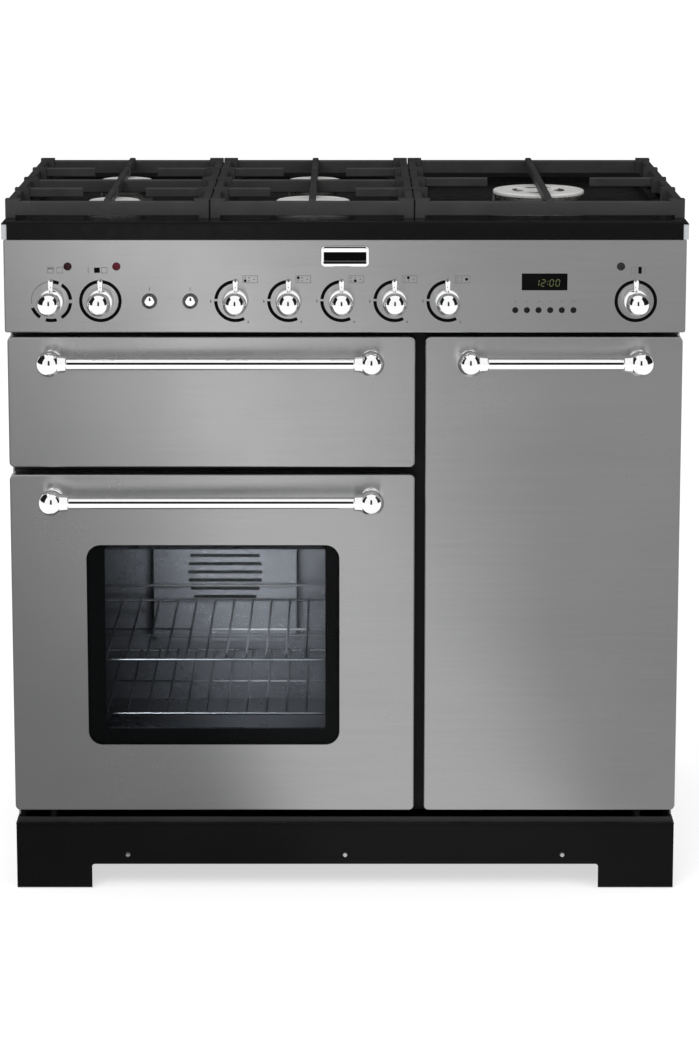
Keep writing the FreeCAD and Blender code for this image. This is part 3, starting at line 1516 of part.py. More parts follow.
def build():
    os.makedirs("parts", exist_ok=True)
    save("side_panels", side_panels())
    save("back_panel", back_panel())
    save("base_frame", base_frame())
    save("front_frame", front_frame())
    save("plinth", plinth())
    save("plinth_screws", plinth_screws())
    for name, side in (("left", -1), ("right", 1)):
        save("levelling_foot_" + name, levelling_foot(side))
        save("roller_" + name, roller(side))
    save("hob_top", hob_top())
    save("burner_bases", burner_bases())
    save("burner_heads", burner_heads())
    save("burner_caps", burner_caps())
    save("pan_support_left", pan_support(left_support_x, narrow_support_width,
                                         [(front_row, small_cap_radius), (rear_row, middle_cap_radius)]))
    save("pan_support_centre", pan_support(centre_support_x, narrow_support_width,
                                           [(front_row, large_cap_radius), (rear_row, middle_cap_radius)]))
    save("pan_support_right", pan_support(wide_support_x, wide_support_width,
                                          [(support_mid, wok_cap_radius)]))
    save("gas_pipework", gas_pipework())
    save("taps_and_switches", taps_and_switches() + switch_block())
    save("control_panel", control_panel())
    save("panel_trims", panel_trims())
    save("grill_knob", knob(grill_knob_x))
    save("left_oven_knob", knob(left_knob_x))
    save("right_oven_knob", knob(right_knob_x))
    for i, x in enumerate(hob_knob_xs):
        save("hob_knob_%d" % (i + 1), knob(x))
    save("oven_light_button", push_button(light_button_x))
    save("spark_button", push_button(spark_button_x))
    for i, x in enumerate(clock_button_xs()):
        save("clock_button_%d" % (i + 1), clock_button(x))
    save("clock_display", clock_display())
    save("indicator_lenses", indicator_lenses())
    save("grill_cavity", cavity("grill"))
    save("left_oven_cavity", cavity("left"))
    save("right_oven_cavity", cavity("right"))
    save("door_seals", door_seals())
    panel, liner = grill_door()
    save("grill_door_panel", panel)
    save("grill_door_liner", liner)
    save("grill_door_handle", handle(left_door_left, left_door_right, doors_top))
    panel, liner, panes = left_door()
    save("left_door_panel", panel)
    save("left_door_liner", liner)
    save("left_door_glass", panes)
    save("left_door_handle", handle(left_door_left, left_door_right, left_oven_door_top))
    panel, liner = right_door()
    save("right_door_panel", panel)
    save("right_door_liner", liner)
    save("right_door_handle", handle(right_door_left, right_door_right, doors_top))
    save("shelf_ladders", shelf_ladders())
    save("oven_shelves", oven_shelves())
    save("left_oven_fan", oven_fan("left"))
    save("right_oven_fan", oven_fan("right"))
    save("fan_housings", fan_housings())
    save("grill_pan", grill_pan())
    save("grill_element", grill_element())


build()
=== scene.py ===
import bmesh
import bpy
import json
import math
import numpy as np
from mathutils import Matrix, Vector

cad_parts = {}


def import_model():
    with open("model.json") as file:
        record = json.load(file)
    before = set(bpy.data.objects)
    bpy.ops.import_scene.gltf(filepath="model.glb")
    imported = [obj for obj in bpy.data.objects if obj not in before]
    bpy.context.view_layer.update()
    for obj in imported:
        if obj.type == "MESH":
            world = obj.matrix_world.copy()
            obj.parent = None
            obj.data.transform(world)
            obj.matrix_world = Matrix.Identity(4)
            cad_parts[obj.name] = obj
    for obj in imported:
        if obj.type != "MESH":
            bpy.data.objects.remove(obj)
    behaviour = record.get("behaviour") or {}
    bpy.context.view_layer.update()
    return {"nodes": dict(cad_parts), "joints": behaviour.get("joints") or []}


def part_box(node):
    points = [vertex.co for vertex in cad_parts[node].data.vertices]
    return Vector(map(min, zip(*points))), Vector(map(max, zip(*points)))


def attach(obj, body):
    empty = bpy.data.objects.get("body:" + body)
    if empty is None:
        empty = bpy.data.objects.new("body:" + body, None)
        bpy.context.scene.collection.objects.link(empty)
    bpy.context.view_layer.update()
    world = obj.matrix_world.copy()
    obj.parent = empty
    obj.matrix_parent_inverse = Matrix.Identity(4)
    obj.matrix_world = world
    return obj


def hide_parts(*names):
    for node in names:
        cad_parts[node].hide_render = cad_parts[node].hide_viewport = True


# Looks of a 90 cm dual fuel range cooker: brushed steel front, chromed turned knobs and bar
# handles, black enamelled hob with cast pan supports, a glazed oven and a black plinth.
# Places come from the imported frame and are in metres; small sizes are written in millimetres.

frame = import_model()

MM = 0.001
TAU = 2 * math.pi
X = np.array([1.0, 0.0, 0.0])
Y = np.array([0.0, 1.0, 0.0])
Z = np.array([0.0, 0.0, 1.0])
FORWARD = -Y

joint_place = {j["name"]: np.array(j["pos_m"]) for j in frame["joints"] if "pos_m" in j}


# Arrays, grids and meshes


def unit(vectors):
    """Each vector divided by its own length."""
    return vectors / np.linalg.norm(vectors, axis=-1, keepdims=True)


def low(node):
    """The lowest corner of a node's box."""
    return np.array(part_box(node)[0])


def high(node):
    """The highest corner of a node's box."""
    return np.array(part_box(node)[1])


def middle(node):
    """The middle of a node's box."""
    return (low(node) + high(node)) / 2


def skin(points, wrap_u=False, wrap_v=False, caps=False):
    """Quads between neighbouring samples of a surface, points[i, j] being the place at step i of
    the first parameter and j of the second. A wrapped parameter closes on itself, and caps are
    two flat faces over the first and last rows."""
    rows, columns = points.shape[:2]
    index = np.arange(rows * columns).reshape(rows, columns)
    ends = [index[0][::-1], index[-1]] if caps else []
    if wrap_u:
        index = np.vstack([index, index[:1]])
    if wrap_v:
        index = np.hstack([index, index[:, :1]])
    quads = np.stack([index[:-1, :-1], index[:-1, 1:], index[1:, 1:], index[1:, :-1]], axis=-1)
    return points.reshape(-1, 3), quads.reshape(-1, 4), ends


def piece(name, skins, finish, body, replaced=(), crease=32.0):
    """One object made of several skins. Doubles at seams and poles are merged, faces are turned
    outwards, and edges sharper than the crease angle in degrees stay sharp."""
    places = []
    faces = []
    count = 0
    for points, quads, ends in skins:
        places.append(points)
        faces += (quads + count).tolist() + [(end + count).tolist() for end in ends]
        count += len(points)
    mesh = bpy.data.meshes.new(name)
    mesh.from_pydata(np.vstack(places).tolist(), [], faces)
    work = bmesh.new()
    work.from_mesh(mesh)
    bmesh.ops.remove_doubles(work, verts=work.verts, dist=0.002 * MM)
    bmesh.ops.dissolve_degenerate(work, edges=work.edges, dist=0.001 * MM)
    bmesh.ops.recalc_face_normals(work, faces=work.faces)
    work.to_mesh(mesh)
    work.free()
    mesh.shade_smooth()
    mesh.set_sharp_from_angle(angle=math.radians(crease))
    mesh.materials.append(finish)
    made = bpy.data.objects.new(name, mesh)
    bpy.context.scene.collection.objects.link(made)
    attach(made, body)
    if replaced:
        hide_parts(*replaced)
    return made


def turned(profile, centre, axis, side, steps=48, ring=False):
    """Surface of revolution: centre + along * axis + radius * (cos t * side + sin t * axis x side)
    for the (along, radius) pairs of a profile. A ring's profile closes on itself."""
    profile = np.asarray(profile, float)
    t = np.linspace(0, TAU, steps, endpoint=False)[:, None]
    spoke = np.cos(t) * side + np.sin(t) * np.cross(axis, side)
    points = centre + profile[:, None, :1] * axis + profile[:, None, 1:] * spoke
    return skin(points, wrap_u=ring, wrap_v=True)


def arc(along, radius, size, start, end, steps=9):
    """Points of a profile's arc about (along, radius), from one angle to another in degrees."""
    a = np.radians(np.linspace(start, end, steps))
    return np.stack([along + size * np.cos(a), radius + size * np.sin(a)], axis=-1)


def tube(path, normal, radius, sides=10, closed=False):
    """Round wire in one plane: path + radius * (cos t * normal + sin t * tangent x normal)."""
    path = np.asarray(path, float)
    step = np.roll(path, -1, axis=0) - np.roll(path, 1, axis=0)
    if not closed:
        step[0] = path[1] - path[0]
        step[-1] = path[-1] - path[-2]
    side = np.cross(unit(step), normal)
    t = np.linspace(0, TAU, sides, endpoint=False)[None, :, None]
    points = path[:, None, :] + radius * (np.cos(t) * normal + np.sin(t) * side[:, None, :])
    return skin(points, wrap_u=closed, wrap_v=True, caps=not closed)


def rounded_outline(half_wide, half_tall, radius, steps=7):
    """Rounded rectangle as (across, up) pairs: four quarter circles joined by straight sides."""
    quarter = np.linspace(0, math.pi / 2, steps)
    arcs = []
    for turn, (sx, sz) in enumerate(((1, 1), (-1, 1), (-1, -1), (1, -1))):
        a = quarter + turn * math.pi / 2
        arcs.append(np.stack([sx * (half_wide - radius) + radius * np.cos(a),
                              sz * (half_tall - radius) + radius * np.sin(a)], axis=-1))
    return np.vstack(arcs)


def prism(outline, centre, layers, across=X, up=Z, out=FORWARD):
    """Closed solid of one outline at several distances: centre + out * distance + the outline
    drawn in by an inset along its own normals, for the (distance, inset) pairs of the layers."""
    outline = np.asarray(outline, float)
    run = unit(np.roll(outline, -1, axis=0) - np.roll(outline, 1, axis=0))
    normal = np.stack([run[:, 1], -run[:, 0]], axis=-1)
    layers = np.asarray(layers, float)
    flat = outline[None] - layers[:, None, 1:] * normal[None]
    points = centre + layers[:, None, :1] * out + flat[..., :1] * across + flat[..., 1:] * up
    return skin(points, wrap_v=True, caps=True)


def band(centre, inner, outer, start, end, depth, across=X, up=Z, out=FORWARD):
    """Flat arc with a rectangular section: the four corners (radius, distance) carried round
    centre from one clock angle to another, in degrees from twelve o'clock."""
    t = np.radians(np.linspace(start, end, max(3, int(abs(end - start) / 4))))
    radial = np.sin(t)[:, None] * across + np.cos(t)[:, None] * up
    corners = np.array([(inner, 0.0), (outer, 0.0), (outer, depth), (inner, depth)])
    points = centre + radial[:, None, :] * corners[None, :, :1] + corners[None, :, 1:] * out
    return skin(points, wrap_v=True, caps=True)


# Shader nodes


def new_node(tree, kind, **values):
    """A node with its properties, or its inputs by name or number, set."""
    node = tree.nodes.new(kind)
    for key, value in values.items():
        if hasattr(node, key):
            setattr(node, key, value)
        else:
            node.inputs[key.replace("_", " ")].default_value = value
    return node


def wire(tree, source, target):
    """A link from an output socket to an input socket."""
    tree.links.new(source, target)


def math_node(tree, operation, first, second):
    """One sum of two values, each a socket or a number."""
    node = tree.nodes.new("ShaderNodeMath")
    node.operation = operation
    for slot, value in zip(node.inputs, (first, second)):
        if isinstance(value, (int, float)):
            slot.default_value = value
        else:
            wire(tree, value, slot)
    return node.outputs[0]


def spread(tree, value, low_in, high_in, low_out, high_out):
    """A value carried from one range to another and held at both ends."""
    node = new_node(tree, "ShaderNodeMapRange")
    wire(tree, value, node.inputs["Value"])
    for key, number in (("From Min", low_in), ("From Max", high_in), ("To Min", low_out),
                        ("To Max", high_out)):
        if isinstance(number, (int, float)):
            node.inputs[key].default_value = number
        else:
            wire(tree, number, node.inputs[key])
    return node.outputs["Result"]


def blend(tree, factor, first, second):
    """A colour between two, each a socket or an (r, g, b) colour."""
    node = new_node(tree, "ShaderNodeMix", data_type="RGBA")
    wire(tree, factor, node.inputs["Factor"])
    for key, value in (("A", first), ("B", second)):
        slot = [s for s in node.inputs if s.name == key and s.type == "RGBA"][0]
        if isinstance(value, tuple):
            slot.default_value = (*value, 1.0)
        else:
            wire(tree, value, slot)
    return [s for s in node.outputs if s.type == "RGBA"][0]


def noise(tree, vector, scale, detail=3.0, roughness=0.5):
    """Cloudy noise from 0 to 1 over a place."""
    node = new_node(tree, "ShaderNodeTexNoise", Scale=scale, Detail=detail, Roughness=roughness)
    wire(tree, vector, node.inputs["Vector"])
    return node.outputs["Fac"]


def stretched(tree, vector, scale):
    """Object coordinates squeezed or drawn out along their axes."""
    node = new_node(tree, "ShaderNodeMapping", Scale=scale)
    wire(tree, vector, node.inputs["Vector"])
    return node.outputs["Vector"]


def group(name, inputs, outputs):
    """An empty shader node group. Inputs are (name, value) pairs and outputs (name, kind)."""
    tree = bpy.data.node_groups.new(name, "ShaderNodeTree")
    for label, value in inputs:
        socket = tree.interface.new_socket(label, in_out="INPUT", socket_type="NodeSocketFloat")
        socket.default_value = value
    for label, kind in outputs:
        tree.interface.new_socket(label, in_out="OUTPUT", socket_type="NodeSocket" + kind)
    return tree, tree.nodes.new("NodeGroupInput"), tree.nodes.new("NodeGroupOutput")


def placed(tree, effect, **values):
    """A node group set into a material with its own values."""
    node = tree.nodes.new("ShaderNodeGroup")
    node.node_tree = effect
    for key, value in values.items():
        node.inputs[key.replace("_", " ")].default_value = value
    return node


def brushed_grain():
    """Fine lines along X from noise drawn out sideways, and a slow change of tone across them."""
    tree, given, out = group("brushed grain", [("Line Scale", 900.0), ("Tone", 0.5)],
                             [("Lines", "Float"), ("Tone", "Float")])
    place = new_node(tree, "ShaderNodeTexCoord").outputs["Object"]
    drawn = stretched(tree, place, (0.012, 1.0, 1.0))
    fine = new_node(tree, "ShaderNodeTexNoise", Detail=2.0)
    wire(tree, drawn, fine.inputs["Vector"])
    wire(tree, given.outputs["Line Scale"], fine.inputs["Scale"])
    coarse = noise(tree, stretched(tree, place, (0.03, 1.0, 1.0)), 160.0, 2.0)
    lines = math_node(tree, "ADD", math_node(tree, "MULTIPLY", fine.outputs["Fac"], 0.65),
                      math_node(tree, "MULTIPLY", coarse, 0.35))
    slow = noise(tree, stretched(tree, place, (0.6, 1.0, 1.6)), 3.0, 2.0)
    wire(tree, lines, out.inputs["Lines"])
    wire(tree, math_node(tree, "MULTIPLY", slow, given.outputs["Tone"]), out.inputs["Tone"])
    return tree


def soft_mottle():
    """Cloudy patches: a broad noise laid over a finer one, for handled and cleaned surfaces."""
    tree, given, out = group("soft mottle", [("Patch Scale", 9.0), ("Fine Share", 0.35)],
                             [("Patch", "Float")])
    place = new_node(tree, "ShaderNodeTexCoord").outputs["Object"]
    broad = new_node(tree, "ShaderNodeTexNoise", Detail=3.0)
    wire(tree, place, broad.inputs["Vector"])
    wire(tree, given.outputs["Patch Scale"], broad.inputs["Scale"])
    fine = noise(tree, place, 140.0, 2.0)
    mixed = math_node(tree, "MULTIPLY", fine, given.outputs["Fine Share"])
    wire(tree, math_node(tree, "ADD", broad.outputs["Fac"], mixed), out.inputs["Patch"])
    return tree


def grain_skin():
    """Rough cast or moulded skin: rounded bumps from a cell texture under fine noise."""
    tree, given, out = group("grain skin", [("Bump Scale", 700.0)], [("Height", "Float")])
    place = new_node(tree, "ShaderNodeTexCoord").outputs["Object"]
    cells = new_node(tree, "ShaderNodeTexVoronoi")
    wire(tree, place, cells.inputs["Vector"])
    wire(tree, given.outputs["Bump Scale"], cells.inputs["Scale"])
    fine = noise(tree, place, 1800.0, 2.0)
    rise = math_node(tree, "ADD", cells.outputs["Distance"], math_node(tree, "MULTIPLY", fine, 0.5))
    wire(tree, rise, out.inputs["Height"])
    return tree


def enamel_specks():
    """Small pale specks scattered in fired enamel, from the cores of a cell texture."""
    tree, given, out = group("enamel specks", [("Speck Scale", 420.0), ("Speck Size", 0.16)],
                             [("Specks", "Float"), ("Ripple", "Float")])
    place = new_node(tree, "ShaderNodeTexCoord").outputs["Object"]
    cells = new_node(tree, "ShaderNodeTexVoronoi")
    wire(tree, place, cells.inputs["Vector"])
    wire(tree, given.outputs["Speck Scale"], cells.inputs["Scale"])
    close = math_node(tree, "LESS_THAN", cells.outputs["Distance"], given.outputs["Speck Size"])
    some = math_node(tree, "GREATER_THAN", noise(tree, place, 300.0, 1.0), 0.52)
    wire(tree, math_node(tree, "MULTIPLY", close, some), out.inputs["Specks"])
    wire(tree, noise(tree, place, 85.0, 2.0), out.inputs["Ripple"])
    return tree


def dust_film():
    """Thin dust on faces that look up, broken by noise."""
    tree, given, out = group("dust film", [("Amount", 0.3)], [("Dust", "Float")])
    normal = new_node(tree, "ShaderNodeNewGeometry").outputs["Normal"]
    parts = new_node(tree, "ShaderNodeSeparateXYZ")
    wire(tree, normal, parts.inputs["Vector"])
    upward = spread(tree, parts.outputs["Z"], 0.55, 1.0, 0.0, 1.0)
    place = new_node(tree, "ShaderNodeTexCoord").outputs["Object"]
    broken = spread(tree, noise(tree, place, 26.0, 4.0, 0.6), 0.35, 0.75, 0.0, 1.0)
    film = math_node(tree, "MULTIPLY", upward, broken)
    wire(tree, math_node(tree, "MULTIPLY", film, given.outputs["Amount"]), out.inputs["Dust"])
    return tree


GRAIN = brushed_grain()
MOTTLE = soft_mottle()
SKIN = grain_skin()
SPECKS = enamel_specks()
DUST = dust_film()


# Materials


def material(name, **values):
    """A new material: its node tree and its surface shader with plain values set."""
    made = bpy.data.materials.new(name)
    made.use_nodes = True
    tree = made.node_tree
    tree.nodes.clear()
    surface = tree.nodes.new("ShaderNodeBsdfPrincipled")
    output = tree.nodes.new("ShaderNodeOutputMaterial")
    wire(tree, surface.outputs[0], output.inputs["Surface"])
    for key, value in values.items():
        surface.inputs[key.replace("_", " ")].default_value = value
    return made, tree, surface


def bumped(tree, surface, height, strength, distance):
    """Relief from a height that changes over the surface."""
    node = new_node(tree, "ShaderNodeBump", Strength=strength, Distance=distance)
    wire(tree, height, node.inputs["Height"])
    wire(tree, node.outputs["Normal"], surface.inputs["Normal"])


def mottled(tree, surface, scale, fine_share, dull, bright, rough_low, rough_high, patch_top=1.2):
    """Base colour and roughness that both follow one soft mottle."""
    patch = placed(tree, MOTTLE, Patch_Scale=scale, Fine_Share=fine_share).outputs["Patch"]
    wire(tree, blend(tree, patch, dull, bright), surface.inputs["Base Color"])
    rough = spread(tree, patch, 0.3, patch_top, rough_low, rough_high)
    wire(tree, rough, surface.inputs["Roughness"])


def brushed_steel():
    """Satin steel brushed from side to side, with a slow change of tone and faint finger haze."""
    made, tree, surface = material("brushed steel", Metallic=1.0, Anisotropic=0.6)
    grain = placed(tree, GRAIN, Line_Scale=1500.0, Tone=1.0)
    mottle = placed(tree, MOTTLE, Patch_Scale=5.0, Fine_Share=0.1)
    tone = blend(tree, grain.outputs["Tone"], (0.46, 0.465, 0.468), (0.60, 0.60, 0.598))
    lined = blend(tree, spread(tree, grain.outputs["Lines"], 0.3, 0.7, 0.0, 0.22), tone,
                  (0.70, 0.70, 0.69))
    wire(tree, lined, surface.inputs["Base Color"])
    haze = spread(tree, mottle.outputs["Patch"], 0.35, 0.8, 0.23, 0.29)
    wire(tree, haze, surface.inputs["Roughness"])
    upright = new_node(tree, "ShaderNodeVectorTransform", vector_type="VECTOR", convert_from="OBJECT",
                       convert_to="WORLD")
    upright.inputs["Vector"].default_value = (0.0, 0.0, 1.0)
    wire(tree, upright.outputs["Vector"], surface.inputs["Tangent"])
    bumped(tree, surface, grain.outputs["Lines"], 0.2, 0.06 * MM)
    return made


def plated(name, scale, fine_share, dull, bright, rough_low, rough_high):
    """Chromed metal, from mirror-bright to satin, with a faint change of tone."""
    made, tree, surface = material(name, Metallic=1.0)
    mottled(tree, surface, scale, fine_share, dull, bright, rough_low, rough_high, 1.0)
    return made


def painted(name, dark, light, rough_low, rough_high, skin_strength=0.05, gloss=0.5):
    """Sprayed or powder paint: two close tones in soft patches over a fine orange peel."""
    made, tree, surface = material(name, Specular_IOR_Level=gloss)
    mottle = placed(tree, MOTTLE, Patch_Scale=7.0, Fine_Share=0.3)
    dust = placed(tree, DUST, Amount=0.05)
    tone = blend(tree, mottle.outputs["Patch"], dark, light)
    dusty = blend(tree, dust.outputs["Dust"], tone, (0.45, 0.44, 0.42))
    wire(tree, dusty, surface.inputs["Base Color"])
    rough = spread(tree, mottle.outputs["Patch"], 0.3, 1.0, rough_low, rough_high)
    wire(tree, rough, surface.inputs["Roughness"])
    peel = placed(tree, SKIN, Bump_Scale=260.0)
    bumped(tree, surface, peel.outputs["Height"], skin_strength, 0.2 * MM)
    return made


def hob_enamel():
    """Deep black gloss enamel with a shallow ripple, faint specks and a little dust."""
    made, tree, surface = material("hob enamel", Specular_IOR_Level=0.12)
    specks = placed(tree, SPECKS, Speck_Scale=520.0, Speck_Size=0.1)
    dust = placed(tree, DUST, Amount=0.012)
    flecked = blend(tree, specks.outputs["Specks"], (0.003, 0.003, 0.003), (0.012, 0.012, 0.013))
    dusty = blend(tree, dust.outputs["Dust"], flecked, (0.30, 0.30, 0.29))
    wire(tree, dusty, surface.inputs["Base Color"])
    rough = spread(tree, specks.outputs["Ripple"], 0.3, 0.7, 0.13, 0.22)
    wire(tree, rough, surface.inputs["Roughness"])
    bumped(tree, surface, specks.outputs["Ripple"], 0.06, 0.4 * MM)
    return made


def oven_enamel():
    """Grey-black easy-clean enamel with pale specks."""
    made, tree, surface = material("oven enamel")
    specks = placed(tree, SPECKS, Speck_Scale=330.0, Speck_Size=0.2)
    mottle = placed(tree, MOTTLE, Patch_Scale=11.0, Fine_Share=0.3)
    base = blend(tree, mottle.outputs["Patch"], (0.052, 0.054, 0.058), (0.074, 0.076, 0.082))
    flecked = blend(tree, specks.outputs["Specks"], base, (0.32, 0.33, 0.34))
    wire(tree, flecked, surface.inputs["Base Color"])
    rough = spread(tree, mottle.outputs["Patch"], 0.3, 1.0, 0.22, 0.4)
    wire(tree, rough, surface.inputs["Roughness"])
    bumped(tree, surface, specks.outputs["Ripple"], 0.08, 0.4 * MM)
    return made


def cast_iron():
    """Matt black enamelled casting: a grainy skin, worn greyer on its upper faces."""
    made, tree, surface = material("cast iron", Specular_IOR_Level=0.4)
    relief = placed(tree, SKIN, Bump_Scale=620.0)
    mottle = placed(tree, MOTTLE, Patch_Scale=24.0, Fine_Share=0.5)
    dust = placed(tree, DUST, Amount=0.12)
    base = blend(tree, mottle.outputs["Patch"], (0.012, 0.012, 0.012), (0.030, 0.030, 0.031))
    worn = blend(tree, dust.outputs["Dust"], base, (0.10, 0.10, 0.105))
    wire(tree, worn, surface.inputs["Base Color"])
    rough = spread(tree, mottle.outputs["Patch"], 0.3, 1.2, 0.34, 0.5)
    wire(tree, rough, surface.inputs["Roughness"])
    bumped(tree, surface, relief.outputs["Height"], 0.25, 0.25 * MM)
    return made


def light_alloy(name, dull, bright, rough_low, rough_high, metal=1.0):
    """Cast or drawn aluminium with a fine grain and cloudy tone."""
    made, tree, surface = material(name, Metallic=metal)
    mottled(tree, surface, 40.0, 0.6, dull, bright, rough_low, rough_high)
    grain = placed(tree, SKIN, Bump_Scale=1100.0)
    bumped(tree, surface, grain.outputs["Height"], 0.12, 0.1 * MM)
    return made


def moulded(name, dark, light, rough_low, rough_high, gloss=0.5):
    """Moulded plastic or rubber with a fine spark-eroded grain."""
    made, tree, surface = material(name, Specular_IOR_Level=gloss)
    mottled(tree, surface, 30.0, 0.5, dark, light, rough_low, rough_high)
    grain = placed(tree, SKIN, Bump_Scale=1500.0)
    bumped(tree, surface, grain.outputs["Height"], 0.08, 0.08 * MM)
    return made


def door_glass():
    """Clear float glass with a slight grey tint, which lets light from the lamps through."""
    made, tree, surface = material("door glass", Roughness=0.03, IOR=1.12, Transmission_Weight=1.0)
    mottle = placed(tree, MOTTLE, Patch_Scale=4.0, Fine_Share=0.2)
    wire(tree, blend(tree, mottle.outputs["Patch"], (0.80, 0.83, 0.86), (0.86, 0.88, 0.90)),
         surface.inputs["Base Color"])
    clear = new_node(tree, "ShaderNodeBsdfTransparent")
    clear.inputs["Color"].default_value = (0.8, 0.82, 0.85, 1.0)
    ray = new_node(tree, "ShaderNodeLightPath")
    passes = math_node(tree, "MAXIMUM", ray.outputs["Is Shadow Ray"], ray.outputs["Is Diffuse Ray"])
    both = new_node(tree, "ShaderNodeMixShader")
    wire(tree, passes, both.inputs[0])
    wire(tree, surface.outputs[0], both.inputs[1])
    wire(tree, clear.outputs[0], both.inputs[2])
    output = [n for n in tree.nodes if n.type == "OUTPUT_MATERIAL"][0]
    wire(tree, both.outputs[0], output.inputs["Surface"])
    return made


def printed_ink(name, dark, light):
    """Screen printed ink: nearly flat colour with slightly uneven cover."""
    made, tree, surface = material(name, Specular_IOR_Level=0.05)
    mottled(tree, surface, 60.0, 0.6, dark, light, 0.42, 0.6)
    return made


def glowing_digits():
    """Dim green segments of the clock, uneven along each digit."""
    made, tree, surface = material("clock segments", Roughness=0.4, Emission_Strength=1.0)
    mottle = placed(tree, MOTTLE, Patch_Scale=60.0, Fine_Share=0.4)
    glow = blend(tree, mottle.outputs["Patch"], (0.03, 0.036, 0.012), (0.07, 0.08, 0.03))
    wire(tree, glow, surface.inputs["Emission Color"])
    wire(tree, blend(tree, mottle.outputs["Patch"], (0.02, 0.03, 0.01), (0.05, 0.06, 0.02)),
         surface.inputs["Base Color"])
    return made


def lamp_lens(name, deep, lit):
    """Tinted domed lens in two close tones under a thin gloss coat."""
    made, tree, surface = material(name, Specular_IOR_Level=0.2, Coat_Weight=0.15, Coat_Roughness=0.03)
    mottled(tree, surface, 120.0, 0.3, deep, lit, 0.12, 0.25)
    return made


STEEL = brushed_steel()
CHROME = plated("chrome", 38.0, 0.3, (0.90, 0.905, 0.91), (0.97, 0.97, 0.965), 0.001, 0.003)
# Painted shade: a near-black copy of the mirror chrome for the push buttons' rings, standing in for the
# dark reflections they show.
CHROME_PAINTED_DARK = plated("chrome in painted shade", 38.0, 0.3, (0.05, 0.05, 0.052), (0.12, 0.12, 0.122), 0.001, 0.003)
SATIN_CHROME = plated("satin chrome", 38.0, 0.3, (0.62, 0.625, 0.63), (0.74, 0.74, 0.735), 0.14, 0.2)
WIRE = plated("bright wire", 30.0, 0.4, (0.70, 0.69, 0.67), (0.86, 0.86, 0.85), 0.12, 0.28)
SIDE_PAINT = painted("side paint", (0.30, 0.31, 0.32), (0.35, 0.36, 0.37), 0.34, 0.44)
BLACK_PAINT = painted("black paint", (0.010, 0.010, 0.010), (0.022, 0.022, 0.022), 0.35, 0.5, gloss=0.2)
PLINTH_PAINT = painted("plinth paint", (0.002, 0.002, 0.002), (0.005, 0.005, 0.005), 0.24, 0.36, 0.03, 0.1)
ZINC = light_alloy("zinc plate", (0.46, 0.47, 0.48), (0.66, 0.67, 0.68), 0.38, 0.52)
HOB_ENAMEL = hob_enamel()
OVEN_ENAMEL = oven_enamel()
CAST = cast_iron()
BURNER = light_alloy("burner alloy", (0.66, 0.65, 0.63), (0.84, 0.83, 0.81), 0.22, 0.38)
LID = light_alloy("lid alloy", (0.74, 0.735, 0.72), (0.90, 0.895, 0.88), 0.42, 0.56, 0.6)
# Painted shade: the shelf bars and side racks are near black, standing in for the shade inside the oven,
# while the shelves' frames keep the bright wire finish.
SHADED_ROD = light_alloy("rod in painted shade", (0.06, 0.06, 0.062), (0.10, 0.10, 0.103), 0.45, 0.6, 0.3)
TUBE = light_alloy("tube alloy", (0.55, 0.55, 0.55), (0.72, 0.72, 0.71), 0.3, 0.45)
ELEMENT = light_alloy("element sheath", (0.12, 0.11, 0.10), (0.24, 0.22, 0.20), 0.42, 0.6)
BRASS = light_alloy("brass", (0.55, 0.42, 0.19), (0.74, 0.58, 0.29), 0.24, 0.4)
GLASS = door_glass()
CLOCK = moulded("clock plastic", (0.001, 0.001, 0.001), (0.003, 0.003, 0.003), 0.08, 0.16, 0.04)
BUTTON = moulded("button plastic", (0.003, 0.003, 0.003), (0.008, 0.008, 0.008), 0.3, 0.42, 0.15)
RUBBER = moulded("seal rubber", (0.03, 0.03, 0.03), (0.07, 0.07, 0.068), 0.6, 0.8)
FOOT = moulded("foot plastic", (0.025, 0.025, 0.026), (0.055, 0.055, 0.055), 0.45, 0.6)
BLACK_INK = printed_ink("black ink", (0.0008, 0.0008, 0.0008), (0.002, 0.002, 0.002))
GREY_INK = printed_ink("grey ink", (0.075, 0.078, 0.08), (0.13, 0.13, 0.135))
DIGITS = glowing_digits()
RED_LENS = lamp_lens("red lens", (0.035, 0.002, 0.006), (0.07, 0.006, 0.013))
DARK_LENS = lamp_lens("dark lens", (0.008, 0.002, 0.003), (0.018, 0.004, 0.006))
GREY_LENS = lamp_lens("grey lens", (0.008, 0.008, 0.008), (0.018, 0.018, 0.018))

node_finish = {
    STEEL: ("control_panel", "grill_door_panel", "left_door_panel", "right_door_panel"),
    SIDE_PAINT: ("side_panels",),
    ZINC: ("back_panel",),
    BLACK_PAINT: ("base_frame", "front_frame"),
    PLINTH_PAINT: ("plinth",),
    WIRE: ("plinth_screws",),
    FOOT: ("levelling_foot_left", "levelling_foot_right", "roller_left", "roller_right"),
    HOB_ENAMEL: ("hob_top",),
    CAST: ("pan_support_left", "pan_support_centre", "pan_support_right"),
    BURNER: ("burner_heads",),
    TUBE: ("burner_bases", "gas_pipework", "left_oven_fan", "right_oven_fan"),
    BRASS: ("taps_and_switches",),
    CLOCK: ("clock_display",),
    OVEN_ENAMEL: ("grill_cavity", "left_oven_cavity", "right_oven_cavity", "grill_door_liner",
                  "left_door_liner", "right_door_liner", "fan_housings", "grill_pan"),
    RUBBER: ("door_seals",),
    GLASS: ("left_door_glass",),
    ELEMENT: ("grill_element",),
}
for finish, nodes in node_finish.items():
    for node in nodes:
        mesh = frame["nodes"][node].data
        mesh.materials.clear()
        mesh.materials.append(finish)


# Knobs


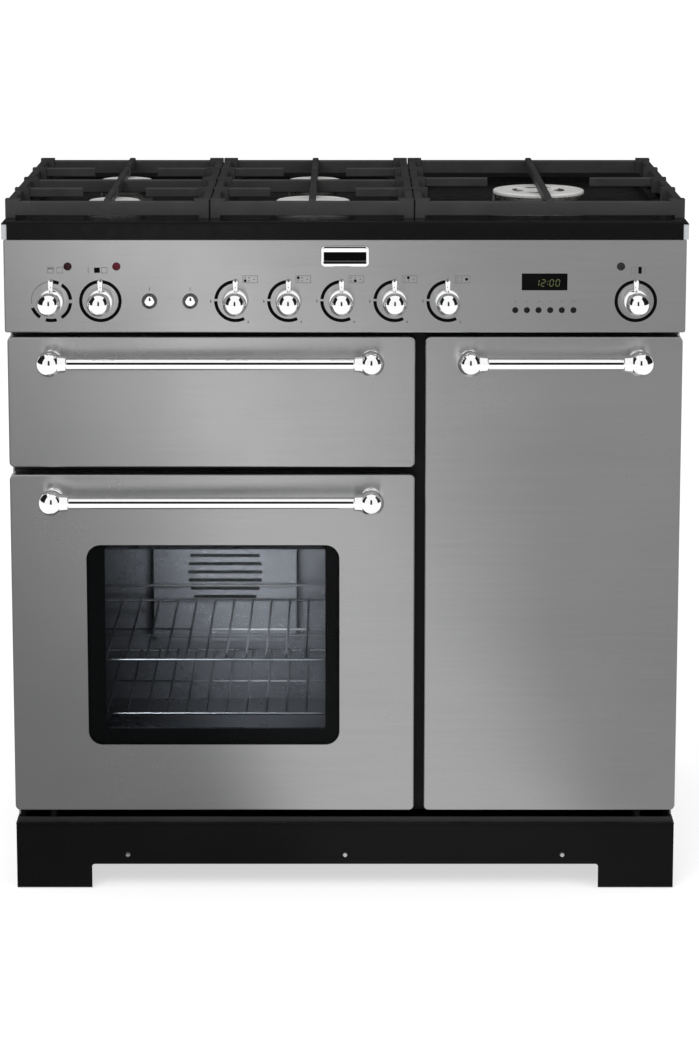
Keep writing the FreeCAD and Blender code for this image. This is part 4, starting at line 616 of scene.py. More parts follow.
def knob_profiles(spindle_rear):
    """The spindle with a thin skirt, and the coved neck with its ball, as (forward, radius) pairs."""
    spindle, chamfer = 4.0 * MM, 0.4 * MM
    skirt_gap, skirt, skirt_radius, rim, flat_edge = 0.8 * MM, 3.0 * MM, 17.0 * MM, 0.7 * MM, 2.0 * MM
    neck, neck_start, neck_end, lap = 9.5 * MM, 10.0 * MM, 15.5 * MM, 0.2 * MM
    bead, bead_forward, bead_lift = 0.9 * MM, 18.4 * MM, 0.2 * MM
    ball_radius, ball_forward = 15.5 * MM, 32.0 * MM
    skirt_front = skirt_gap + skirt
    cove = neck_start - skirt_front
    leave = math.degrees(math.asin(neck / ball_radius))
    disc = np.vstack([
        [(spindle_rear, 0.0), (spindle_rear, spindle - chamfer), (spindle_rear + chamfer, spindle)],
        [(skirt_gap, spindle), (skirt_gap, skirt_radius - rim)],
        arc(skirt_gap + rim, skirt_radius - rim, rim, 180, 90, 5),
        arc(skirt_front - rim, skirt_radius - rim, rim, 90, 0, 5),
        [(skirt_front, skirt_radius - flat_edge), (skirt_front, 0.0)],
    ])
    ball = np.vstack([
        [(skirt_front - lap, 0.0), (skirt_front - lap, neck + cove)],
        arc(neck_start, neck + cove, cove, 180, 270, 9)[1:],
        [(neck_end, neck)],
        arc(bead_forward, neck + bead_lift, bead, 150, 30, 6),
        arc(ball_forward, 0.0, ball_radius, 180 - leave, 0, 30),
    ])
    return disc, ball


def pointer_outline():
    """A tab that widens from the neck to a round-cornered tip, as (across, up) pairs."""
    root_half, tip_half = 2.3 * MM, 3.5 * MM
    root, tip, corner, lean = 6.0 * MM, 28.4 * MM, 2.6 * MM, 6
    right = arc(tip_half - corner, tip - corner, corner, -lean, 90, 8)
    left = arc(corner - tip_half, tip - corner, corner, 90, 180 + lean, 8)
    return np.vstack([[(-root_half, root), (root_half, root)], right, left])


def knob(node, joint):
    """A turned knob on its own joint's axis, with a raised pointer over its skirt. The pointer's
    front edge is eased by (behind the front, inset) steps."""
    centre = joint_place[joint]
    rear = centre[1] - high(node)[1]
    disc, ball = (turned(profile, centre, FORWARD, X, 64) for profile in knob_profiles(rear))
    pointer_rear, pointer_front = 0.9 * MM, 5.2 * MM
    eased = np.array([(0.9, 0.0), (0.2, 0.3), (0.0, 0.9)]) * MM
    layers = [(pointer_rear, 0.0)] + [(pointer_front - back, inset) for back, inset in eased]
    pointer = prism(pointer_outline(), centre, layers)
    piece(node + "_ball", [ball, pointer], CHROME, node, [node])
    piece(node + "_skirt", [disc], SATIN_CHROME, node, [node])


knob_joints = {"hob_knob_%d" % i: "hob_knob_%d_turn" % i for i in range(1, 6)}
knob_joints.update({name: name + "_turn" for name in ("grill_knob", "left_oven_knob", "right_oven_knob")})
for node, joint in knob_joints.items():
    knob(node, joint)


# Handles


def handle(door, node, body):
    """A long bar with a collar at each end, held by two turned ball ends on roses."""
    ball, bar_radius, standoff = 17.0 * MM, 8.0 * MM, 38.0 * MM
    first, last = low(node), high(node)
    height = (first[2] + last[2]) / 2
    face = low(door)[1]
    ends = [np.array([x, face, height]) for x in (first[0] + ball, last[0] - ball)]
    rose, rose_thick, rose_foot, rose_rim = 13.0 * MM, 4.0 * MM, 0.6 * MM, 1.2 * MM
    neck, neck_start, neck_end, cove = 8.0 * MM, 10.0 * MM, 16.0 * MM, 5.0 * MM
    bead, bead_out, bead_lift = 1.6 * MM, 18.6 * MM, 0.1 * MM
    leave = math.degrees(math.asin(neck / ball))
    profile = np.vstack([
        [(0.0, 0.0), (0.0, rose - rose_foot)],
        arc(rose_foot, rose - rose_foot, rose_foot, 180, 90, 4),
        arc(rose_thick - rose_rim, rose - rose_rim, rose_rim, 90, 0, 6),
        arc(neck_start, neck + cove, cove, 200, 270, 8),
        [(neck_end, neck)],
        arc(bead_out, neck + bead_lift, bead, 165, 15, 8),
        arc(standoff, 0.0, ball, 180 - leave, 0, 32),
    ])
    finials = [turned(profile, end, FORWARD, X, 64) for end in ends]
    collar, collar_start, band_end = 12.4 * MM, 10.0 * MM, 12.0 * MM
    taper_start, taper_end, taper_drop, waist = 13.0 * MM, 20.5 * MM, 0.5 * MM, 10.9 * MM
    collar_end, nose, nose_height, fillet = 22.5 * MM, 0.9 * MM, 9.8 * MM, 0.8 * MM
    first_row, second_row = 1.4 * MM, 3.0 * MM
    half = np.vstack([
        [(collar_start, 0.0), (collar_start, collar), (band_end, collar)],
        [(taper_start, collar - taper_drop), (taper_end, waist)],
        arc(collar_end - nose, nose_height, nose, 80, 0, 5),
        arc(collar_end + fillet, bar_radius + fillet, fillet, 180, 270, 5),
        [(collar_end + first_row, bar_radius), (collar_end + second_row, bar_radius)],
    ])
    length = ends[1][0] - ends[0][0]
    other = np.stack([length - half[::-1, 0], half[::-1, 1]], axis=-1)
    rod = turned(np.vstack([half, other]), ends[0] + FORWARD * standoff, X, Z, 48)
    piece(node + "_bar", [rod], CHROME, body, [node])
    piece(node + "_ends", finials, CHROME, body, [node])


door_bodies = {"grill_door": "grill_door", "left_door": "left_oven_door", "right_door": "right_oven_door"}
for door, body in door_bodies.items():
    handle(door + "_panel", door + "_handle", body)


# Push buttons, lamps and badge

LENS_RADIUS = 5.4 * MM
BADGE_HALF_TALL = 13.5 * MM
panel_face = low("control_panel")[1]
knob_row = joint_place["hob_knob_1_turn"][2]


def on_panel(x, z):
    """A place on the control panel's face."""
    return np.array([x, panel_face, z])


def push_button(node):
    """A bright domed cap: straight sides and an elliptical crown."""
    radius, crown_start, front = 7.0 * MM, 2.0 * MM, 5.0 * MM
    rear = panel_face - high(node)[1]
    a = np.linspace(0, math.pi / 2, 14)
    crown = np.stack([crown_start + (front - crown_start) * np.sin(a), radius * np.cos(a)], axis=-1)
    profile = np.vstack([[(rear, 0.0), (rear, radius)], crown])
    centre = on_panel(middle(node)[0], knob_row)
    piece(node + "_cap", [turned(profile, centre, FORWARD, X, 48)], CHROME, node, [node])


def bezels():
    """Rings round the push buttons: a flat back, a rounded outside and a bevelled inside."""
    inner, outer, thick, shoulder = 7.35 * MM, 10.2 * MM, 3.0 * MM, 1.6 * MM
    lip_drop, lip, bevel = 0.3 * MM, 0.5 * MM, 1.0 * MM
    section = np.vstack([
        [(0.0, inner), (0.0, outer)],
        arc(thick - shoulder, outer - shoulder, shoulder, 90, 0, 7),
        [(thick - lip_drop, inner + lip), (thick - bevel, inner)],
    ])
    rings = []
    for node in ("oven_light_button", "spark_button"):
        centre = on_panel(middle(node)[0], knob_row)
        rings.append(turned(section, centre, FORWARD, X, 48, ring=True))
    return rings


def badge(height):
    """A plate with eased edges and a sunk field, left bare, and the field's inlay. The plate is a
    stack of rounded rectangles: (behind the front, inset) steps round the edge, then (behind the
    front, widening) steps down into the field."""
    half_wide, corner, thick = 31.5 * MM, 5.0 * MM, 3.0 * MM
    field_wide, field_tall, field_corner, sunk = 28.1 * MM, 6.0 * MM, 0.6 * MM, 0.8 * MM
    eased = np.array([(1.2, 0.0), (0.5, 0.4), (0.1, 1.2), (0.0, 2.2)]) * MM
    bevelled = [(0.0, 0.4 * MM), (0.2 * MM, 0.0), (sunk, 0.0)]
    centre = on_panel(0.0, height)
    steps = [(0.0, half_wide, BADGE_HALF_TALL, corner)]
    steps += [(thick - back, half_wide - inset, BADGE_HALF_TALL - inset, corner - inset)
              for back, inset in eased]
    steps += [(thick - back, field_wide + wider, field_tall + wider, field_corner + wider)
              for back, wider in bevelled]
    rings = []
    for forward, wide, tall, radius in steps:
        outline = rounded_outline(wide, tall, radius)
        rings.append(centre + forward * FORWARD + outline[:, :1] * X + outline[:, 1:] * Z)
    gap, inlay_side, inlay_front = 0.1 * MM, 0.5 * MM, 0.42 * MM
    inlay = prism(rounded_outline(field_wide - gap, field_tall - gap, field_corner - gap), centre,
                  [(thick - sunk, 0.0), (thick - inlay_side, 0.0), (thick - inlay_front, gap)])
    return skin(np.array(rings), wrap_v=True, caps=True), inlay


for node in ("oven_light_button", "spark_button"):
    push_button(node)
badge_height = high("panel_trims")[2] - BADGE_HALF_TALL
plate, inlay = badge(badge_height)
# The rings take the chrome copy darkened with painted shade.
piece("button_rings", bezels(), CHROME_PAINTED_DARK, "range", ["panel_trims"])
piece("badge_plate", [plate], CHROME, "range", ["panel_trims"])
piece("badge_inlay", [inlay], BLACK_INK, "range")


def clock_button(node):
    """A small round pin with a shallow domed head."""
    radius, side, proud = 3.65 * MM, 0.9 * MM, 1.6 * MM
    rear = panel_face - high(node)[1]
    a = np.linspace(0, math.pi / 2, 8)
    crown = np.stack([side + (proud - side) * np.sin(a), radius * np.cos(a)], axis=-1)
    centre = on_panel(middle(node)[0], middle(node)[2])
    profile = np.vstack([[(rear, 0.0), (rear, radius)], crown])
    pin = turned(profile, centre, FORWARD, X, 24)
    piece(node + "_pin", [pin], BUTTON, node, [node])


clock_nodes = ["clock_button_%d" % i for i in range(1, 7)]
for node in clock_nodes:
    clock_button(node)


def lamp_places():
    """The three lamps' centres: the outer two from the node's box, the middle one from the knob."""
    first, last = low("indicator_lenses"), high("indicator_lenses")
    beside_knob = 21.5 * MM
    height = (first[2] + last[2]) / 2
    second = joint_place["left_oven_knob_turn"][0] + beside_knob
    return [on_panel(x, height) for x in (first[0] + LENS_RADIUS, second, last[0] - LENS_RADIUS)]


def lamp(centre):
    """A domed lens with a thin foot and the stem behind it."""
    foot, dome, stem, stem_rear = 0.5 * MM, 2.2 * MM, 3.2 * MM, -12.0 * MM
    a = np.linspace(0, math.pi / 2, 10)
    crown = np.stack([foot + (dome - foot) * np.sin(a), LENS_RADIUS * np.cos(a)], axis=-1)
    sides = [(stem_rear, 0.0), (stem_rear, stem), (0.0, stem), (0.0, LENS_RADIUS)]
    return turned(np.vstack([sides, crown]), centre, FORWARD, X, 32)


lamps = [lamp(place) for place in lamp_places()]
piece("lamp_left_outer", [lamps[0]], DARK_LENS, "range", ["indicator_lenses"])
piece("lamp_left_inner", [lamps[1]], RED_LENS, "range", ["indicator_lenses"])
piece("lamp_right", [lamps[2]], GREY_LENS, "range", ["indicator_lenses"])


# Printing on the panel

INK = 0.12 * MM


def dot(centre, radius, steps=16):
    """A small round of ink."""
    a = np.linspace(0, TAU, steps, endpoint=False)
    outline = np.stack([radius * np.cos(a), radius * np.sin(a)], axis=-1)
    return prism(outline, centre, [(0.0, 0.0), (INK, 0.0)])


def bar(centre, wide, tall, lean=0.0):
    """A small upright rectangle of ink, turned by an angle in degrees."""
    corners = np.array([(-wide, -tall), (wide, -tall), (wide, tall), (-wide, tall)]) / 2
    c, s = math.cos(math.radians(lean)), math.sin(math.radians(lean))
    turned_corners = corners @ np.array([(c, s), (-s, c)])
    points = np.stack([centre + depth * FORWARD + turned_corners[:, :1] * X + turned_corners[:, 1:] * Z
                       for depth in (0.0, INK)])
    return skin(points, wrap_v=True, caps=True)


def frame_line(centre, wide, tall, stroke):
    """Four bars round a rectangle."""
    sides = []
    for sign in (-1, 1):
        sides.append(bar(centre + sign * (tall - stroke) / 2 * Z, wide, stroke))
        sides.append(bar(centre + sign * (wide - stroke) / 2 * X, stroke, tall - 2 * stroke))
    return sides


def drop(centre, size):
    """A flame mark: a circle narrowed across and drawn out to a point above."""
    narrow_share, point_share = 0.75, 0.9
    a = np.linspace(0, TAU, 20, endpoint=False)
    reach = size * (1 + point_share * np.maximum(0, np.sin(a)) ** 4)
    outline = np.stack([size * narrow_share * np.cos(a), reach * np.sin(a)], axis=-1)
    return prism(outline, centre, [(0.0, 0.0), (INK, 0.0)])


def moved(place, across, up):
    """A place moved across and up in the panel's plane, in millimetres."""
    return place + across * MM * X + up * MM * Z


ring_outer = 28.0 * MM
ring_inner = 23.6 * MM
black_marks = []
grey_marks = []


def hob_scale(index):
    """A gas knob's scale: an open ring from twelve o'clock round the left to five, a full and a
    small flame, and a plan of the hob with this knob's burner filled in."""
    turn = joint_place["hob_knob_%d_turn" % index]
    centre = on_panel(turn[0], turn[2])
    for start, end in ((-4, -84), (-90, -206)):
        black_marks.append(band(centre, ring_inner, ring_outer, start, end, INK))
    full_flame, small_flame = 1.5 * MM, 1.2 * MM
    grey_marks.append(drop(moved(centre, -32.5, -0.6), full_flame))
    grey_marks.append(drop(moved(centre, 16.5, -28.0), small_flame))
    plan = moved(centre, 19.5, 29.0)
    plan_wide, plan_tall, stroke = 20.0 * MM, 10.0 * MM, 0.7 * MM
    grey_marks.extend(frame_line(plan, plan_wide, plan_tall, stroke))
    filled, open_spot = 1.9 * MM, 1.0 * MM
    spots = [(-6.6, 2.0), (-6.6, -2.0), (-1.6, 2.0), (-1.6, -2.0), (5.2, 0.0)]
    spot_of_knob = [1, 0, 3, 2, 4]
    for number, (across, up) in enumerate(spots):
        if number == spot_of_knob[index - 1]:
            black_marks.append(dot(moved(plan, across, up), filled))
        else:
            grey_marks.append(dot(moved(plan, across, up), open_spot))


def oven_scales():
    """Round scales of the grill and the two ovens, with their plain pictures over them: boxes of
    four lines, filled boxes, an upright line and, for the grill, four leaning strokes."""
    grill, left, right = (on_panel(*joint_place[name + "_turn"][[0, 2]])
                          for name in ("grill_knob", "left_oven_knob", "right_oven_knob"))
    over_knob, thinner, fine, bold = 41.0, 1.6 * MM, 0.7 * MM, 0.8 * MM
    for start, end in ((2, 24), (34, 86), (96, 148), (164, 196), (214, 250)):
        black_marks.append(band(grill, ring_inner, ring_outer, start, end, INK))
    grey_marks.append(band(grill, ring_inner + thinner, ring_outer - thinner, 262, 352, INK))
    picture = moved(grill, 0.0, over_knob)
    grey_marks.extend(frame_line(picture, 9.0 * MM, 8.0 * MM, bold))
    for i in range(4):
        stroke = moved(picture, (i - 1.5) * 1.7, 2.0)
        black_marks.append(bar(stroke, 1.0 * MM, 1.6 * MM, 30))
    grey_marks.extend(frame_line(moved(picture, 12.0, 0.0), 8.0 * MM, 8.0 * MM, fine))
    black_marks.append(band(left, ring_inner, ring_outer, 3, 357, INK))
    picture = moved(left, -4.0, over_knob)
    black_marks.append(bar(picture, 7.6 * MM, 7.0 * MM))
    grey_marks.extend(frame_line(moved(picture, 9.5, 0.0), 8.0 * MM, 8.0 * MM, bold))
    grey_marks.append(bar(moved(picture, -11.5, 0.0), 0.9 * MM, 8.0 * MM))
    black_marks.append(band(right, ring_inner, ring_outer, 3, 357, INK))
    picture = moved(right, 4.0, over_knob)
    grey_marks.extend(frame_line(moved(picture, -7.5, 0.0), 7.0 * MM, 9.0 * MM, bold))
    black_marks.append(bar(moved(picture, 1.0, 0.0), 4.4 * MM, 9.0 * MM))
    grey_marks.append(bar(moved(picture, 7.5, 0.0), 0.9 * MM, 9.0 * MM))


def small_marks():
    """Ticks over the push buttons, and over each clock button a stroke and a dot above it."""
    over_push, over_pin, over_stroke, lean = 16.0 * MM, 11.0 * MM, 1.6, 18.0
    for node in ("oven_light_button", "spark_button"):
        tick = on_panel(middle(node)[0], knob_row + over_push)
        grey_marks.append(bar(tick, 0.9 * MM, 5.0 * MM))
    for i, node in enumerate(clock_nodes):
        spot = on_panel(middle(node)[0], middle(node)[2] + over_pin)
        grey_marks.append(bar(spot, 3.6 * MM, 0.7 * MM, lean * (i % 3 - 1)))
        grey_marks.append(dot(moved(spot, 0.0, over_stroke), 0.6 * MM, 8))


for number in range(1, 6):
    hob_scale(number)
oven_scales()
small_marks()
piece("printed_scales", black_marks, BLACK_INK, "range")
piece("printed_pictures", grey_marks, GREY_INK, "range")


# Clock figures

SEGMENTS = {"0": "abcdef", "1": "bc", "2": "abged"}
SLANT_SHARE = 0.12


def figure(shape, corner, wide, tall, stroke):
    """One seven-segment figure of slim bars, leaning a little to the right."""
    half, room, upright_lean = tall / 2, stroke * 1.3, -7.0
    places = {"a": (wide / 2, tall, 0), "g": (wide / 2, half, 0), "d": (wide / 2, 0.0, 0),
              "f": (0.0, half * 1.5, 1), "b": (wide, half * 1.5, 1),
              "e": (0.0, half / 2, 1), "c": (wide, half / 2, 1)}
    bars = []
    for segment in SEGMENTS[shape]:
        across, up, upright = places[segment]
        centre = corner + (across + up * SLANT_SHARE) * X + up * Z
        size = (stroke, half - room) if upright else (wide - room, stroke)
        bars.append(bar(centre, *size, lean=upright_lean if upright else 0.0))
    return bars


def clock_figures():
    """The time as four figures and a colon, low and to the right in the window."""
    tall, wide, stroke, pitch = 8.6 * MM, 4.6 * MM, 1.0 * MM, 8.0 * MM
    pane_depth, below_badge, lowered, from_middle = 1.0 * MM, 34.0 * MM, 1.5 * MM, 12.5 * MM
    pair_gap, colon_gap, colon_dot = 3.0 * MM, 0.3 * MM, 0.6 * MM
    foot = badge_height - below_badge - tall / 2 - lowered
    start = np.array([middle("clock_display")[0] - from_middle, panel_face + pane_depth, foot])
    shapes = []
    for i, shape in enumerate("1200"):
        step = i * pitch + (pair_gap if i > 1 else 0.0)
        shapes += figure(shape, start + step * X, wide, tall, stroke)
    colon = start + (2 * pitch + colon_gap) * X
    for share in (0.3, 0.7):
        rise = share * tall
        shapes.append(dot(colon + rise * Z + rise * SLANT_SHARE * X, colon_dot, 10))
    return shapes


piece("clock_figures", clock_figures(), DIGITS, "range")


# Burner caps


def cap_profile(radius, thick):
    """A flat lid with a rounded rim, a shallow groove inside it and a faint dome, from below. The
    groove is (below the top, in from the rim) pairs, the dome (below the top, share) pairs."""
    foot, rim = 0.5 * MM, 1.8 * MM
    groove = np.array([(0.05, 4.0), (0.45, 4.6), (0.45, 5.8), (0.1, 6.6)]) * MM
    dome = ((0.12, 0.5), (0.05, 0.2), (0.05, 0.0))
    return np.vstack([
        [(0.0, 0.0), (0.0, radius - foot)],
        arc(foot, radius - foot, foot, 180, 90, 4),
        arc(thick - rim, radius - rim, rim, 90, 0, 8),
        [(thick - down, radius - inward) for down, inward in groove],
        [(thick - down * MM, radius * share) for down, share in dome],
    ])


def burner_places():
    """Each burner's centre and cap radius, from the pan supports' boxes, the wide burner last."""
    left, centre, right = (middle("pan_support_" + side) for side in ("left", "centre", "right"))
    row, small, medium, large, widest = 120.0 * MM, 35.0 * MM, 37.0 * MM, 50.0 * MM, 63.5 * MM
    return [(left[0], left[1] + row, medium), (left[0], left[1] - row, small),
            (centre[0], centre[1] + row, medium), (centre[0], centre[1] - row, large),
            (right[0], right[1], widest)]


def wok_cap(centre, radius, thick):
    """The wide burner's lid: a rim ring, a hub and four spokes over a sunk floor, which is made dark as
    painted shade in the slots.
    """
    slot_outer, slot_inner, floor = 37.0 * MM, 22.0 * MM, thick / 3
    foot, rim, flat, edge, hub_rim = 0.5 * MM, 1.8 * MM, 1.0 * MM, 0.8 * MM, 1.2 * MM
    dimple, dimple_floor, dimple_deep = 6.0 * MM, 5.0 * MM, 0.3 * MM
    ring = np.vstack([
        [(0.0, slot_outer), (0.0, radius - foot)],
        arc(foot, radius - foot, foot, 180, 90, 4),
        arc(thick - rim, radius - rim, rim, 90, 0, 8),
        [(thick, slot_outer + flat)],
        arc(thick - edge, slot_outer + edge, edge, 0, -90, 5),
    ])
    hub = np.vstack([
        [(0.0, 0.0), (0.0, slot_inner)],
        arc(thick - hub_rim, slot_inner - hub_rim, hub_rim, 90, 0, 6),
        [(thick, dimple), (thick - dimple_deep, dimple_floor), (thick - dimple_deep, 0.0)],
    ])
    wall, below_top = 0.4 * MM, 0.9 * MM
    lip = thick - below_top
    pan = [(0.0, slot_inner), (0.0, slot_outer), (lip, slot_outer), (lip, slot_outer - wall),
           (floor, slot_outer - wall), (floor, slot_inner + wall), (lip, slot_inner + wall),
           (lip, slot_inner)]
    bright = [turned(ring, centre, Z, X, 96, ring=True), turned(hub, centre, Z, X, 64)]
    spoke_half, spoke_gap, spoke_round, lap = 5.0 * MM, 0.1 * MM, 1.0 * MM, 1.5 * MM
    section = rounded_outline(spoke_half, thick / 2 - spoke_gap, spoke_round, 4)
    reach = np.array([slot_inner - lap, slot_outer + lap])
    for i in range(4):
        turn = math.radians(45 + 90 * i)
        out = math.cos(turn) * X + math.sin(turn) * Y
        side = np.cross(Z, out)
        points = (centre + thick / 2 * Z + reach[:, None, None] * out
                  + section[None, :, :1] * side + section[None, :, 1:] * Z)
        bright.append(skin(points, wrap_v=True, caps=True))
    return bright, turned(pan, centre, Z, X, 64, ring=True)


def burner_caps():
    """Four flat lids and the wide burner's pierced one."""
    thick = 5.0 * MM
    underside = low("burner_caps")[2]
    places = [(np.array([x, y, underside]), radius) for x, y, radius in burner_places()]
    bright = [turned(cap_profile(radius, thick), centre, Z, X, 72) for centre, radius in places[:-1]]
    rim_and_spokes, pan = wok_cap(*places[-1], thick)
    piece("burner_lids", bright + rim_and_spokes, LID, "range", ["burner_caps"])
    # Painted shade: the sunk floor takes the dark element finish in place of the shade seen through the
    # lid's slots.
    piece("wok_lid_painted_shade", [pan], ELEMENT, "range", ["burner_caps"])


burner_caps()


# Oven shelves and their side racks


def corner_arcs(corners, before, after, radius, steps=6):
    """An arc in each right-angled corner, from unit directions to the points before and after:
    centre - radius * (cos t * after + sin t * before), its centre being corner + radius * (before
    + after)."""
    centre = corners + (before + after) * radius
    t = np.linspace(0, math.pi / 2, steps)[None, :, None]
    points = centre[:, None] - radius * (np.cos(t) * after[:, None] + np.sin(t) * before[:, None])
    return points.reshape(-1, 3)


def closed_path(corners, radius):
    """A closed path through corners, each replaced by an arc."""
    corners = np.asarray(corners, float)
    before = unit(np.roll(corners, 1, axis=0) - corners)
    after = unit(np.roll(corners, -1, axis=0) - corners)
    return corner_arcs(corners, before, after, radius)


def open_path(corners, radius):
    """A path from the first to the last corner, with the ones between replaced by arcs."""
    corners = np.asarray(corners, float)
    inner = corners[1:-1]
    arcs = corner_arcs(inner, unit(corners[:-2] - inner), unit(corners[2:] - inner), radius)
    return np.vstack([corners[:1], arcs, corners[-1:]])


def straight(start, end, radius, normal=Z):
    """A straight round wire between two places."""
    return tube([start, end], normal, radius, 8)


def wire_shelf(x0, x1, y0, y1, height):
    """A round wire frame, then its bars from front to back with a cross bar and a raised stop
    behind. The frame and the bars are given back apart."""
    rim, rod, corner = 2.0 * MM, 1.6 * MM, 9.0 * MM
    pitch, bar_rise, cross_drop = 26.0 * MM, 0.6 * MM, 0.8 * MM
    corners = [(x0 + rim, y0 + rim, height), (x1 - rim, y0 + rim, height),
               (x1 - rim, y1 - rim, height), (x0 + rim, y1 - rim, height)]
    outline = tube(closed_path(corners, corner), Z, rim, closed=True)
    count = max(2, int((x1 - x0 - 2 * rim) / pitch))
    bar_height, cross_height, cross = height + bar_rise, height - cross_drop, (y0 + y1) / 2
    wires = [straight((x, y0 + rim, bar_height), (x, y1 - rim, bar_height), rod)
             for x in np.linspace(x0 + rim, x1 - rim, count + 1)[1:-1]]
    wires.append(straight((x0 + rim, cross, cross_height), (x1 - rim, cross, cross_height), rod))
    stop, rise, stop_corner = 8.0 * MM, 22.0 * MM, 7.0 * MM
    posts = [(x0 + stop, y1 - rim, height), (x0 + stop, y1 - rim, height + rise),
             (x1 - stop, y1 - rim, height + rise), (x1 - stop, y1 - rim, height)]
    wires.append(tube(open_path(posts, stop_corner), Y, rim))
    return outline, wires


def ladder(wall, inward, y0, y1, z0, z1, heights):
    """Two uprights against a cavity wall and rungs that stand inward with rounded ends."""
    upright, rod, inset, stand, corner = 2.4 * MM, 2.0 * MM, 2.5 * MM, 10.5 * MM, 4.0 * MM
    near, far = wall + inward * inset, wall + inward * stand
    wires = [straight((near, y, z0), (near, y, z1), upright, X) for y in (y0 + inset, y1 - inset)]
    for height in heights:
        corners = [(near, y0 + inset, height), (far, y0 + inset, height),
                   (far, y1 - inset, height), (near, y1 - inset, height)]
        wires.append(tube(open_path(corners, corner), Z, rod, 8))
    return wires


def oven_wires():
    """Shelves and side racks of both ovens, from the cavities' boxes."""
    flange, wall, margin, pitch = 10.0 * MM, 2.0 * MM, 21.0 * MM, 38.0 * MM
    over_rung, side_gap, rounding_guard = 4.0 * MM, 8.0 * MM, 1e-6
    height_shares = {"left_oven_cavity": (0.125, 0.375), "right_oven_cavity": (0.154, 0.4615, 0.769)}
    rails, outlines, rods = [], [], []
    y0, y1 = low("shelf_ladders")[1], high("shelf_ladders")[1]
    shelf_y0, shelf_y1 = low("oven_shelves")[1], high("oven_shelves")[1]
    for node, shares in height_shares.items():
        first, last = low(node) + flange + wall, high(node) - flange - wall
        count = int(round((last[2] - first[2] - 2 * margin) / pitch - 0.5 + rounding_guard))
        heights = first[2] + margin + pitch * (np.arange(count) + 0.5) + wall
        for side, inward in ((first[0], 1), (last[0], -1)):
            rails.extend(ladder(side, inward, y0, y1, first[2] + margin, last[2] - margin, heights))
        for share in shares:
            height = heights[round(share * (count - 1))] + over_rung
            outline, wires = wire_shelf(first[0] + side_gap, last[0] - side_gap, shelf_y0, shelf_y1,
                                        height)
            outlines.append(outline)
            rods.extend(wires)
    return rails, outlines, rods


rails, outlines, rods = oven_wires()
# Racks and bars in the near-black rod finish: painted shade of the oven's inside.
piece("side_racks", rails, SHADED_ROD, "range", ["shelf_ladders"], 60.0)
piece("shelf_frames", outlines, WIRE, "range", ["oven_shelves"], 60.0)
piece("shelf_bars", rods, SHADED_ROD, "range", ["oven_shelves"], 60.0)


# Printed border of the window


def window_border():
    """Black fired border behind the outer pane, wide at the sides and foot and thin on top: a
    rounded outline outside and one inside, each at the film's front and back."""
    pane_low, pane_high = low("left_door_glass"), high("left_door_glass")
    lap, left, right, foot, top = 12.0 * MM, 24.0 * MM, 19.0 * MM, 21.0 * MM, 3.0 * MM
    outer_corner, inner_corner, behind_front, film = 19.0 * MM, 5.0 * MM, 4.1 * MM, 0.15 * MM
    pane = (pane_low + pane_high) / 2
    half = (pane_high - pane_low) / 2
    outer = rounded_outline(half[0], half[2], outer_corner, 8)
    x0, x1 = pane_low[0] + lap + left, pane_high[0] - lap - right
    z0, z1 = pane_low[2] + lap + foot, pane_high[2] - lap - top
    inner = rounded_outline((x1 - x0) / 2, (z1 - z0) / 2, inner_corner, 8)
    shift = np.array([(x0 + x1) / 2 - pane[0], (z0 + z1) / 2 - pane[2]])
    centre = np.array([pane[0], pane_low[1] + behind_front, pane[2]])
    loops = ((outer, 0.0), (outer, film), (inner + shift, film), (inner + shift, 0.0))
    points = np.array([centre + behind * Y + outline[:, :1] * X + outline[:, 1:] * Z
                       for outline, behind in loops])
    return skin(points, wrap_u=True, wrap_v=True)


piece("window_border", [window_border()], BLACK_INK, "left_oven_door")


# Stage, lights and camera

# The light band on the floor that satin metal mirrors, in metres, y growing towards the rear.
# Its centre is at x = BAND_START + BAND_SLANT * y and its half width is BAND_HALF - BAND_SPREAD * y.
# Its light is BAND_LIGHT plus -BAND_GAIN * y, the latter being held at BAND_GAIN_MOST. It fades,
# between two shares of the half width, into a dark that changes from left to right of its centre.
BAND_START, BAND_SLANT = 0.176, 0.119
BAND_HALF, BAND_SPREAD = 0.234, 0.036
BAND_LIGHT, BAND_GAIN, BAND_GAIN_MOST = 0.63, 0.105, 0.9
FADE_START_SHARE, FADE_END_SHARE = 0.55, 1.19
DARK_LEFT, DARK_RIGHT, DARK_STEP_SHARE = 0.22, 0.375, 0.2
FLOOR_GREY, FLOOR_WHITE, FLOOR_WHITE_SHARE = 0.93, 1.1, 0.55
# The room's brightness where satin surfaces mirror it, the world being white at 1.
ROOM = 0.57


def plate_mesh(name, corners, finish):
    """One flat face of the stage."""
    mesh = bpy.data.meshes.new(name)
    mesh.from_pydata(corners, [], [(0, 1, 2, 3)])
    mesh.materials.append(finish)
    made = bpy.data.objects.new(name, mesh)
    bpy.context.scene.collection.objects.link(made)
    return made


def satin_rays(tree):
    """1 for rays mirrored by satin surfaces, and 0 for mirror-bright ones and all others."""
    ray = new_node(tree, "ShaderNodeLightPath")
    return math_node(tree, "SUBTRACT", ray.outputs["Is Glossy Ray"], ray.outputs["Is Singular Ray"])


